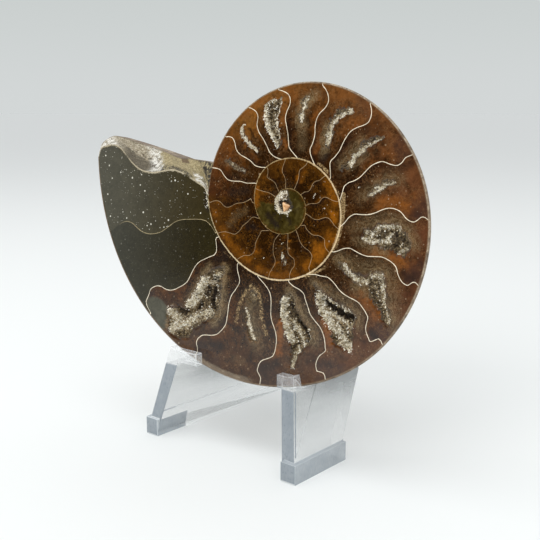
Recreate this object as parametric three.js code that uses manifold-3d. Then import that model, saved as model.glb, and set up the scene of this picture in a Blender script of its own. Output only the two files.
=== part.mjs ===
// One polished half of an ammonite, resting on a small easel of clear plastic.
// Millimetres, +Z up. The viewer looks along +Y at the polished face.
// Inside the model X runs from the left foot to the right foot, Y runs back and the feet stand on Z = 0.
// The finished group is moved so that the origin is the middle of the footprint at floor level.

import * as THREE from "three";
import { mergeVertices, toCreasedNormals } from "three/addons/utils/BufferGeometryUtils.js";
import Module from "manifold-3d";

// Fossil: the rim of the last whorl is a logarithmic spiral with small natural swellings.
const rimStep = 45; // degrees of growth between the radii
const rimStart = 540; // degrees of growth at the first radius, where 0 points along +X
const rimRadii = [20.9, 23.0, 25.6, 28.6, 32.5, 36.2, 39.1, 44.8, 54.5, 68.5];
const rimFirst = 563; // growth where the body chamber meets the older whorl
const rimLast = 909.5; // growth at the broken mouth
const whorlRatio = 2.57; // growth of the radius in one turn
const thicknessRatio = 0.232; // half thickness of a whorl against its radius
const flankPeak = 0.42; // fraction of the radius where the flank is thickest
const umbilicusEdge = 0.3; // fraction of the radius where the flank drops into the umbilicus
const umbilicusWall = 0.05; // fraction of the radius taken by that drop
const edgeBreak = 0.3; // rounding of the polished edge
const mouthDepth = 6; // how far the broken mouth slopes back from the polished face
const mouthFace = [ // polished edge at the mouth: angle in degrees, distance from the pole
  [173.4, 22.3], [170.9, 24.6], [168.9, 28.0], [168.4, 31.8], [170.0, 35.3], [171.8, 40.9],
  [170.3, 45.2], [167.4, 49.0], [166.9, 51.2], [167.8, 53.9], [169.8, 56.2],
];
const mouthBreak = [ // outer edge of the broken mouth, from the older whorl out to the tip
  [158.7, 23.1], [161.0, 27.0], [163.7, 33.5], [164.9, 40.4], [165.0, 46.9], [165.0, 52.6], [166.8, 56.6],
];
const cavities = [ // open hollows in the chambers: angle and distance of both ends, width
  [221, 20.8, 231, 41.3, 3.8],
  [247, 19.4, 257, 33.7, 2.4],
  [274, 18.7, 284, 33.0, 3.2],
  [296, 18.4, 305, 32.0, 2.8],
  [319, 17.4, 324, 32.6, 3.0],
  [344, 18.0, 351, 28.8, 3.6],
  [11, 18.2, 14, 25.0, 1.8],
  [33, 14.0, 36, 25.5, 1.6],
  [53, 12.7, 60, 24.7, 2.0],
  [79, 13.0, 83, 23.8, 1.8],
  [102, 12.7, 106, 23.8, 2.8],
  [127, 13.8, 130, 21.8, 1.4],
  [149, 12.8, 152, 18.9, 1.2],
];
const cavityDepthRatio = 0.45; // depth of a hollow against its width

// Fossil: how it leans on the easel.
const pole = new THREE.Vector3(9.4, 12.8, 54.9); // centre of the spiral on the polished face
const faceLean = 7; // degrees back from upright
const faceTurn = 6.5; // degrees about the vertical

// Easel: two side arms of clear sheet, each on an upright foot rail, and a plate behind the fossil.
const sheet = 3.4;
const footHalfSpan = 22.4; // from the middle of the easel to the outside of a foot rail
const railWidth = 3.8;
const railHeight = 4.2;
const armTilt = 14.6; // degrees that each arm tips in towards the middle
const armRoot = 1; // where the tilted sheet starts inside its rail
const lipThickness = 2;
const leftArm = {
  side: -1,
  railLength: 46,
  strutLean: 0.143, // set back per unit of height
  lipTop: 21,
  seat: 19.45,
  tabWidth: 8.4,
  tabHeight: 2.8,
  restFoot: [14.5, 19.45],
  restTop: [21.5, 46],
  backEdge: [[31.5, 46], [37.5, 26], [45.6, 4.2]],
  facet: [],
};
const rightArm = {
  side: 1,
  railLength: 17.6,
  strutLean: 0.3,
  lipTop: 20,
  seat: 17,
  tabWidth: 4.6,
  tabHeight: 2.8,
  restFoot: [17.8, 17],
  restTop: [21.5, 46],
  backEdge: [[28.5, 46], [28.5, 16.8], [18.3, 4.2]],
  facet: [[1.6, 4.6], [12.4, 16.9], [8.2, 16.9], [6.2, 19.4]], // raised wedge along the front
};
const facetHeight = 0.35;
const backPlate = {
  thickness: 3,
  bottom: 28,
  top: 46,
  front: 18.8, // distance back at the lower edge
  lean: 8.2, // degrees
  clearance: 0.35, // gap to each arm
};

const wasm = await Module();
wasm.setup();

const degrees = THREE.MathUtils.degToRad;
const armSlope = Math.tan(degrees(armTilt));

// Manifold-3d joins and cuts closed meshes.
function toSolid(geometry) {
  const bare = geometry.clone();
  bare.deleteAttribute("normal");
  bare.deleteAttribute("uv");
  const merged = mergeVertices(bare, 1e-4);
  const vertProperties = new Float32Array(merged.attributes.position.array);
  const triVerts = new Uint32Array(merged.index.array);
  return new wasm.Manifold(new wasm.Mesh({ numProp: 3, vertProperties, triVerts }));
}

function toGeometry(solid) {
  const { vertProperties, triVerts } = solid.getMesh();
  const geometry = new THREE.BufferGeometry();
  geometry.setAttribute("position", new THREE.BufferAttribute(vertProperties, 3));
  geometry.setIndex(new THREE.BufferAttribute(triVerts, 1));
  geometry.computeVertexNormals();
  return geometry;
}

// Radius of the rim at a growth angle in degrees. Older turns follow by the whorl ratio.
const rimCurve = new THREE.CubicInterpolant(
  rimRadii.map((_, i) => rimStart + i * rimStep),
  rimRadii.map(Math.log),
  1,
);
function rimRadius(growth) {
  return growth < rimStart
    ? rimRadius(growth + 360) / whorlRatio
    : Math.exp(rimCurve.evaluate(growth)[0]);
}

// Depth of the natural flank behind the polished plane, for a point at radius r and a growth angle.
// Inside the umbilicus the older turns show, each one shallower than the next.
function flankDepth(r, growth, olderTurns = 2) {
  const rim = rimRadius(growth);
  const q = Math.min(r / rim, 1);
  const outward = Math.max(q - flankPeak, 0) / (1 - flankPeak);
  const inward = Math.min(Math.max(flankPeak - q, 0) / (flankPeak - umbilicusEdge), 1);
  const flank = thicknessRatio * rim * Math.sqrt(1 - outward ** 2) * (1 - 0.08 * inward ** 2);
  if (q > umbilicusEdge || olderTurns === 0) {
    return flank;
  }
  const open = THREE.MathUtils.smoothstep(q, umbilicusEdge - umbilicusWall, umbilicusEdge);
  return THREE.MathUtils.lerp(flankDepth(r, growth - 360, olderTurns - 1), flank, open);
}

// At the broken mouth the back steps down from the body chamber to the older whorl.
function backDepth(x, y) {
  const r = Math.hypot(x, y);
  const angle = THREE.MathUtils.radToDeg(Math.atan2(y, x));
  if (angle > 165) {
    return flankDepth(r, 1080 - angle);
  }
  const chamber = THREE.MathUtils.smoothstep(angle, 156, 165);
  return THREE.MathUtils.lerp(flankDepth(r, 720 - angle), flankDepth(r, 915), chamber);
}

function polarPoint([angle, radius]) {
  return new THREE.Vector2(radius * Math.cos(degrees(angle)), radius * Math.sin(degrees(angle)));
}

// The half is closed by rings about the pole: the polished face, its narrow rim and the rounded back.
function ammoniteShell() {
  const rimCount = 84;
  const mouthCount = 18;
  const rim = Array.from({ length: rimCount }, (_, i) => {
    const growth = rimFirst + ((rimLast - rimFirst) * i) / (rimCount - 1);
    return polarPoint([-growth, rimRadius(growth)]);
  });
  const brokenEdge = new THREE.SplineCurve(mouthBreak.map(polarPoint).reverse());
  const polishedEdge = new THREE.SplineCurve(mouthFace.map(polarPoint).reverse());
  const outline = [...rim, ...brokenEdge.getPoints(mouthCount - 1)];
  const faceRing = [
    ...rim.map((p) => p.clone().multiplyScalar(0.992)),
    ...polishedEdge.getPoints(mouthCount - 1),
  ];
  const edgeDepth = outline.map((_, i) => {
    const along = (i - rimCount) / (mouthCount - 1);
    const slope = along < 0 ? 0 : Math.sin(Math.PI * (0.04 + 0.8 * along)) ** 0.6;
    return edgeBreak + mouthDepth * slope;
  });
  const fractions = [
    0.993, 0.975, 0.94, 0.89, 0.82, 0.74, 0.65, 0.56, 0.48, 0.42, 0.36, 0.31,
    0.29, 0.27, 0.25, 0.21, 0.165, 0.13, 0.113, 0.1, 0.07, 0.04,
  ];
  const count = outline.length;
  const positions = [];
  faceRing.forEach((p) => positions.push(p.x, p.y, 0));
  outline.forEach((p, i) => positions.push(p.x, p.y, -edgeDepth[i]));
  for (const fraction of fractions) {
    outline.forEach((p, i) => {
      const q = p.clone().multiplyScalar(fraction);
      const depth = Math.max(backDepth(q.x, q.y), Math.min(edgeDepth[i] + 0.4, fraction * 12));
      positions.push(q.x, q.y, -depth);
    });
  }
  positions.push(0, 0, -flankDepth(0, 740));
  const rings = fractions.length + 2;
  const last = rings * count;
  const index = THREE.ShapeUtils.triangulateShape(faceRing, []).flat();
  for (let i = 0; i < count; i += 1) {
    const next = (i + 1) % count;
    for (let ring = 0; ring < rings - 1; ring += 1) {
      const a = ring * count;
      const b = a + count;
      index.push(a + i, a + next, b + next, a + i, b + next, b + i);
    }
    index.push(last, last - count + i, last - count + next);
  }
  const geometry = new THREE.BufferGeometry();
  geometry.setAttribute("position", new THREE.Float32BufferAttribute(positions, 3));
  geometry.setIndex(index);
  return geometry;
}

// A long hollow that opens on the polished face.
function cavityGeometry([startAngle, startRadius, endAngle, endRadius, width]) {
  const start = polarPoint([startAngle, startRadius]);
  const end = polarPoint([endAngle, endRadius]);
  const along = end.clone().sub(start);
  const geometry = new THREE.IcosahedronGeometry(1, 2);
  geometry.scale(along.length() / 2, width / 2, width * cavityDepthRatio);
  geometry.rotateZ(along.angle());
  return geometry.translate((start.x + end.x) / 2, (start.y + end.y) / 2, 0.02);
}

function ammoniteGeometry() {
  const hollows = wasm.Manifold.union(cavities.map(cavityGeometry).map(toSolid));
  return toCreasedNormals(toGeometry(toSolid(ammoniteShell()).subtract(hollows)), degrees(35));
}

// A side view drawn as [back, up] points and extruded across the easel, centred on X = 0.
function sidePlate(points, width) {
  const shape = new THREE.Shape(points.map(([back, up]) => new THREE.Vector2(back, up)));
  const geometry = new THREE.ExtrudeGeometry(shape, { depth: width, bevelEnabled: false });
  const axes = new THREE.Matrix4().makeBasis(
    new THREE.Vector3(0, 1, 0),
    new THREE.Vector3(0, 0, 1),
    new THREE.Vector3(1, 0, 0),
  );
  return geometry.applyMatrix4(axes).translate(-width / 2, 0, 0);
}

// An arm: foot rail, tilted sheet with a leaning front edge and a seat, and the lip in front of the face.
function armGeometry(arm) {
  const rail = sidePlate(
    [[0, 0], [arm.railLength, 0], [arm.railLength, railHeight], [0, railHeight]],
    railWidth,
  );
  rail.translate(arm.side * (footHalfSpan - railWidth / 2), 0, 0);

  const lipFront = arm.lipTop * arm.strutLean;
  const outline = [
    [armRoot * arm.strutLean, armRoot],
    [arm.railLength - 0.4, armRoot],
    ...[...arm.backEdge].reverse(),
    arm.restTop,
    arm.restFoot,
    [lipFront + lipThickness, arm.seat],
    [lipFront + lipThickness, arm.lipTop],
    [lipFront, arm.lipTop],
  ];
  const stretch = 1 / Math.cos(degrees(armTilt));
  const web = sidePlate(outline.map(([back, up]) => [back, up * stretch]), sheet);
  web.rotateY(-arm.side * degrees(armTilt));
  web.translate(arm.side * (footHalfSpan - (sheet / 2) * stretch), 0, 0);

  const tab = new THREE.BoxGeometry(arm.tabWidth, lipThickness, arm.tabHeight);
  const outside = footHalfSpan - arm.lipTop * armSlope;
  tab.translate(
    arm.side * (outside - arm.tabWidth / 2),
    lipFront + lipThickness / 2,
    arm.lipTop - arm.tabHeight / 2,
  );
  let solid = toSolid(rail).add(toSolid(web)).add(toSolid(tab));
  if (arm.facet.length > 0) {
    const facet = sidePlate(arm.facet.map(([back, up]) => [back, up * stretch]), sheet);
    facet.translate(arm.side * facetHeight, 0, 0);
    facet.rotateY(-arm.side * degrees(armTilt));
    facet.translate(arm.side * (footHalfSpan - (sheet / 2) * stretch), 0, 0);
    solid = solid.add(toSolid(facet));
  }
  return toCreasedNormals(toGeometry(solid), degrees(20));
}

// The plate behind the fossil narrows upwards with the arms.
function backPlateGeometry() {
  const innerFace = (height) => {
    const thickness = sheet / Math.cos(degrees(armTilt));
    return footHalfSpan - height * armSlope - thickness - backPlate.clearance;
  };
  const rise = (backPlate.top - backPlate.bottom) / Math.cos(degrees(backPlate.lean));
  const shape = new THREE.Shape([
    new THREE.Vector2(-innerFace(backPlate.bottom), 0),
    new THREE.Vector2(innerFace(backPlate.bottom), 0),
    new THREE.Vector2(innerFace(backPlate.top), rise),
    new THREE.Vector2(-innerFace(backPlate.top), rise),
  ]);
  const geometry = new THREE.ExtrudeGeometry(shape, { depth: backPlate.thickness, bevelEnabled: false });
  return geometry.translate(0, 0, -backPlate.thickness);
}

const part = new THREE.Group();

const fossil = new THREE.Mesh(
  ammoniteGeometry(),
  new THREE.MeshStandardMaterial({ color: 0x6b4026, roughness: 0.3, metalness: 0 }),
);
fossil.name = "ammonite_half";
fossil.position.copy(pole);
fossil.rotation.set(degrees(90 - faceLean), 0, degrees(faceTurn), "ZYX");
part.add(fossil);

function clearPlastic() {
  return new THREE.MeshStandardMaterial({ color: 0xdfe6ec, roughness: 0.08, metalness: 0 });
}

const left = new THREE.Mesh(armGeometry(leftArm), clearPlastic());
left.name = "stand_left_arm";
part.add(left);

const right = new THREE.Mesh(armGeometry(rightArm), clearPlastic());
right.name = "stand_right_arm";
part.add(right);

const back = new THREE.Mesh(backPlateGeometry(), clearPlastic());
back.name = "stand_back_plate";
back.position.set(0, backPlate.front, backPlate.bottom);
back.rotation.x = degrees(90 - backPlate.lean);
part.add(back);

part.updateMatrixWorld(true);
const bounds = new THREE.Box3().setFromObject(part, true);
const middle = bounds.getCenter(new THREE.Vector3());
part.position.set(-middle.x, -middle.y, 0);
part.updateMatrixWorld(true);

export default part;
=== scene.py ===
from math import radians

import bpy
import numpy as np
from mathutils import Matrix, Vector, noise


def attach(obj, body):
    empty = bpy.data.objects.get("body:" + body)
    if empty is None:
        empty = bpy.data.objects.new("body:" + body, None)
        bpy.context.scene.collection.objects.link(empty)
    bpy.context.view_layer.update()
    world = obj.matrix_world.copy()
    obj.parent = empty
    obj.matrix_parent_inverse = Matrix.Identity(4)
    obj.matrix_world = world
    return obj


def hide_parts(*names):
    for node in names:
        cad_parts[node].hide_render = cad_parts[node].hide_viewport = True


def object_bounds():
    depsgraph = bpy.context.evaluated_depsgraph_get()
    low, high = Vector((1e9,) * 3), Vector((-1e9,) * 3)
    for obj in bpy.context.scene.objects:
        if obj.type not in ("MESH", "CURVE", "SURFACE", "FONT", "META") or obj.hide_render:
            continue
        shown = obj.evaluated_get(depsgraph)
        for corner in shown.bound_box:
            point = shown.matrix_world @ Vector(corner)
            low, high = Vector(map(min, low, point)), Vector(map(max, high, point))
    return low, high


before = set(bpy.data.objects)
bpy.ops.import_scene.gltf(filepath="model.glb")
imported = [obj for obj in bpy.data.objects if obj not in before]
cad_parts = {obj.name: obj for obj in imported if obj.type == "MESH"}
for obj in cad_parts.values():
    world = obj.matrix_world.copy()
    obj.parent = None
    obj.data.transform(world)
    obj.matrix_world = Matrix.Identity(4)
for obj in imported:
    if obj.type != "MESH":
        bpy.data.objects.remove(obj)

cad_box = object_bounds()
np.random.seed(7)
MM = 0.001


# The easel: two hooked side arms and a back plate of clear acrylic sheet, sawn to shape and cemented.
# The faces are polished, with grey streaks along the sheet; sawn edges and rails are frosted blue-grey.
def operator(operation, swapped=False):
    if swapped:
        return lambda value, other: value.shade.math(operation, other, value)
    return lambda value, *others: value.shade.math(operation, value, *others)


class Value:
    """What a node puts out. Sums, products and steps of values are nodes too, and | keeps the larger."""

    __add__, __radd__ = operator("ADD"), operator("ADD", True)
    __sub__, __rsub__ = operator("SUBTRACT"), operator("SUBTRACT", True)
    __mul__, __or__ = operator("MULTIPLY"), operator("MAXIMUM")
    __gt__, __lt__ = operator("GREATER_THAN"), operator("LESS_THAN")
    __abs__, fract, floor = operator("ABSOLUTE"), operator("FRACT"), operator("FLOOR")

    def __init__(self, shade, socket):
        self.shade, self.socket = shade, socket

    def also(self, name):
        """Another output of the same node."""
        return Value(self.shade, self.socket.node.outputs[name])

    def spread(self, low, high, start, end, curve="LINEAR"):
        ranges = {0: self, 1: low, 2: high, 3: start, 4: end}
        return self.shade.node("MapRange", "Result", ranges, interpolation_type=curve)

    def step(self, low, high):
        return self.spread(low, high, 0, 1, "SMOOTHSTEP")

    def mix(self, first, second):
        """The first colour where the value is 0 and the second where it is 1."""
        colours = [(*colour, 1) if isinstance(colour, tuple) else colour for colour in (first, second)]
        return self.shade.node("Mix", 2, {0: self, 6: colours[0], 7: colours[1]}, data_type="RGBA")

    def strengthen(self, colour):
        return self.shade.node("VectorMath", 0, {0: colour, "Scale": self}, operation="SCALE")

    def ramp(self, *stops):
        result = self.shade.node("ValToRGB", "Color", {"Fac": self})
        elements = result.socket.node.color_ramp.elements
        while len(elements) < len(stops):
            elements.new(0.5)
        for element, (position, colour) in zip(elements, stops):
            element.position = position
            element.color = (*colour, 1)
        return result


class Shader:
    """Short calls for the nodes of a material, or of the room."""

    def __init__(self, owner, main="Principled BSDF", place="Object"):
        owner.use_nodes = True
        self.material, self.nodes, self.links = owner, owner.node_tree.nodes, owner.node_tree.links
        self.main = self.nodes[main]
        self.place = self.node("TexCoord", place)

    def set(self, socket, value):
        if isinstance(value, Value):
            self.links.new(value.socket, socket)
        else:
            socket.default_value = value

    def give(self, name, value):
        self.set(self.main.inputs[name], value)

    def node(self, kind, output=0, inputs=None, **settings):
        node = self.nodes.new("ShaderNode" + kind)
        for name, value in settings.items():
            setattr(node, name, value)
        for name, value in (inputs or {}).items():
            self.set(node.inputs[name], value)
        return Value(self, node.outputs[output])

    def math(self, operation, *values):
        return self.node("Math", 0, dict(enumerate(values)), operation=operation)

    def parts(self, value, kind="XYZ"):
        node = self.node("Separate" + kind, 0, {0: value}).socket.node
        return [Value(self, socket) for socket in node.outputs]


RAIL_TOP = 4.25 * MM
HOOK_FOOT, HOOK_BEND = 17.3 * MM, 17.9 * MM


def acrylic(name, frost_colours, clear_colours, hook_highlight_colours, densities, roughness, everywhere):
    """Acrylic by where it is: frosted rails or edges, clear sheet with a slight haze, and hooks painted pale
    as a highlight.
    """
    shade = Shader(bpy.data.materials.new(name))

    def marks(scale, detail, stretch):
        place = shade.node("Mapping", 0, {"Vector": shade.place, "Scale": stretch})
        texture = shade.node("TexNoise", "Fac", {"Vector": place, "Scale": scale, "Detail": detail})
        return texture.spread(0.34, 0.66, 0, 1)

    x, y, z = shade.parts(shade.place)
    # Grey streaks along the sheet, in its colour and its haze.
    sheet_streaks = marks(420, 4, (1, 0.07, 1))
    saw_marks = marks(2600, 6, (1, 1, 0.5))
    soft_marks = saw_marks * 0.45 + marks(330, 3, (1, 1, 1)) * 0.5
    hook = z.spread(HOOK_FOOT, HOOK_BEND, 0, 1) * y.spread(-10 * MM, -12 * MM, 0, 1)
    if everywhere:
        frost = z.spread(HOOK_BEND, HOOK_FOOT, 0, 1) * (z > 0.3 * MM)
    else:
        near = (x > 5 * MM) | (y < -14 * MM)
        frost = (z < RAIL_TOP) * near * (1 - shade.node("NewGeometry", "Backfacing"))

    # Below the fossil the sheet is painted darker and smoky with height: a painted reflection of the fossil's
    # dark underside, and painted shade under it.
    below_top = z.spread(24 * MM, 17 * MM, 0, 1)
    level = z + x.spread(-2 * MM, 2 * MM, 0.5 * MM, -3 * MM)
    painted_underside_reflection = level.spread(4 * MM, 13 * MM, 0, 0.85) * below_top
    clear = painted_underside_reflection.mix(sheet_streaks.ramp(*enumerate(clear_colours)), (0.20, 0.22, 0.22))
    colour = frost.mix(clear, soft_marks.ramp(*enumerate(frost_colours)))
    # The hooks are painted pale and whiter: a painted highlight.
    shade.give("Base Color", hook.mix(colour, sheet_streaks.ramp(*enumerate(hook_highlight_colours))))

    frosted, hazy, hooked = densities
    # The sheet is made denser there too, most towards the back, for the same painted reflection and shade.
    painted_reflection_density = level.spread(5 * MM, 15 * MM, 0, 6.4 * hazy) * below_top * y.spread(-16 * MM, 0, 0.35, 1.1)
    density = sheet_streaks * (hazy * 0.9) + hazy * 0.4 + painted_reflection_density * (1 - hook)
    density = density | frost * frosted | hook * hooked
    grazing = shade.node("LayerWeight", "Fresnel", {"Blend": 0.35})
    shade.give("Alpha", density | grazing * 0.25)
    shade.give("Roughness", saw_marks.spread(0, 1, *roughness))
    shade.give("IOR", 1.49)
    return shade.material


clear_sheet = acrylic(
    "clear acrylic sheet",
    frost_colours=((0.31, 0.35, 0.385), (0.40, 0.44, 0.475)),
    clear_colours=((0.52, 0.56, 0.575), (0.80, 0.83, 0.84)),
    hook_highlight_colours=((0.70, 0.73, 0.74), (0.95, 0.97, 0.98)),
    densities=(0.80, 0.10, 0.08),
    roughness=(0.05, 0.16),
    everywhere=False,
)
sawn_edge = acrylic(
    "sawn acrylic edge",
    frost_colours=((0.20, 0.232, 0.262), (0.27, 0.303, 0.333)),
    clear_colours=((0.52, 0.56, 0.575), (0.80, 0.83, 0.84)),
    hook_highlight_colours=((0.72, 0.75, 0.76), (0.95, 0.97, 0.98)),
    densities=(0.93, 0.12, 0.15),
    roughness=(0.25, 0.5),
    everywhere=True,
)
# Paler acrylic for the eased edges: a painted highlight along them.
eased_corner_highlight = acrylic(
    "eased acrylic corner highlight",
    frost_colours=((0.48, 0.53, 0.57), (0.62, 0.66, 0.69)),
    clear_colours=((0.66, 0.70, 0.71), (0.88, 0.90, 0.91)),
    hook_highlight_colours=((0.86, 0.88, 0.89), (0.97, 0.98, 0.99)),
    densities=(0.85, 0.38, 0.62),
    roughness=(0.08, 0.25),
    everywhere=False,
)
CLEAR, SAWN, EASED_HIGHLIGHT = range(3)
SAWN_FACING = -0.6


def select_only(obj):
    bpy.ops.object.select_all(action="DESELECT")
    obj.select_set(True)
    bpy.context.view_layer.objects.active = obj


def sheet_piece(node, sawn_front):
    """A visible copy of an easel piece, with eased edges that carry a painted highlight, and a frosted front
    where it is sawn.
    """
    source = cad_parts[node]
    piece = source.copy()
    piece.data = source.data.copy()
    piece.name = node + "_clear"
    piece.parent = None
    piece.matrix_world = Matrix()
    bpy.context.scene.collection.objects.link(piece)
    select_only(piece)
    bpy.ops.object.mode_set(mode="EDIT")
    bpy.ops.mesh.select_all(action="SELECT")
    bpy.ops.mesh.remove_doubles(threshold=0.01 * MM)
    bpy.ops.mesh.dissolve_limited(angle_limit=radians(1))
    bpy.ops.object.mode_set(mode="OBJECT")
    piece.data.materials.clear()
    for material in (clear_sheet, sawn_edge, eased_corner_highlight):
        piece.data.materials.append(material)
    for face in piece.data.polygons:
        face.material_index = SAWN if sawn_front and face.normal.y < SAWN_FACING else CLEAR
    rounding = piece.modifiers.new("eased edges", "BEVEL")
    rounding.width = 0.2 * MM
    rounding.segments = 2
    rounding.limit_method = "ANGLE"
    rounding.angle_limit = radians(25)
    # The eased edges take the paler acrylic, a painted highlight.
    rounding.material = EASED_HIGHLIGHT
    bpy.ops.object.modifier_apply(modifier=rounding.name)
    bpy.ops.object.shade_smooth_by_angle(angle=radians(30))
    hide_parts(node)
    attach(piece, "root")
    piece.visible_shadow = False


sheet_piece("stand_left_arm", sawn_front=True)
sheet_piece("stand_right_arm", sawn_front=True)
sheet_piece("stand_back_plate", sawn_front=False)


# The ammonite: one half of a coiled shell, filled with calcite, cut through the middle and polished.
# The polished face is a spiral strip of two turns round a small first chamber, with a rounded back.
# It rests by its own weight on the seats of the easel, behind the two hooks, and leans on the plate.
# The pole is the middle of the spiral. The face leans back and is turned by these degrees.
POLE = Vector((11.7053, -10.2, 54.9)) * MM
LEAN = 7
TURN = 6.5
to_part = Matrix.Translation(POLE) @ Matrix.Rotation(radians(TURN), 4, "Z")
to_part @= Matrix.Rotation(radians(90 - LEAN), 4, "X")

# Radius of the spiral wall in millimetres at every 45 degrees of growth.
WALL_RADII = [
    2.6, 2.9, 3.2, 3.5, 3.9, 4.75, 5.4, 6.0, 6.8, 8.1, 9.6, 9.95, 11.0, 13.1, 14.85, 15.9, 17.6, 20.9, 23.0,
    25.6, 28.6, 32.5, 36.2, 39.1, 44.8, 54.5, 68.5,
]
WALL_START, WALL_STEP = -225, 45
# Growth in degrees at the start of the strip, at its mouth, and where its columns bend to the mouth's wave.
FIRST, LAST, BENT_FROM = 183.7, 903.7, 872


def wall_radius(growth):
    knots = np.log(WALL_RADII)
    x = (np.asarray(growth, float) - WALL_START) / WALL_STEP
    i = np.clip(np.floor(x).astype(int), 1, len(knots) - 3)
    t = x - i
    p0, p1, p2, p3 = knots[i - 1], knots[i], knots[i + 1], knots[i + 2]
    curve = 2 * p0 - 5 * p1 + 4 * p2 - p3 + t * (3 * (p1 - p2) + p3 - p0)
    return np.exp(p1 + 0.5 * t * (p2 - p0 + t * curve))


def smooth_through(x, knots, values):
    """A smooth curve through points, level beyond both ends."""
    knots, values = np.array(knots, float), np.array(values, float)
    slopes = np.gradient(values, knots)
    x = np.clip(x, knots[0], knots[-1])
    i = np.clip(np.searchsorted(knots, x) - 1, 0, len(knots) - 2)
    step = knots[i + 1] - knots[i]
    t = (x - knots[i]) / step
    return (
        (1 + 2 * t) * (1 - t) ** 2 * values[i] + t * (1 - t) ** 2 * step * slopes[i]
        + t * t * (3 - 2 * t) * values[i + 1] + t * t * (t - 1) * step * slopes[i + 1]
    )


def smoothstep(low, high, x):
    t = np.clip((x - low) / (high - low), 0, 1)
    return t * t * (3 - 2 * t)


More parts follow.
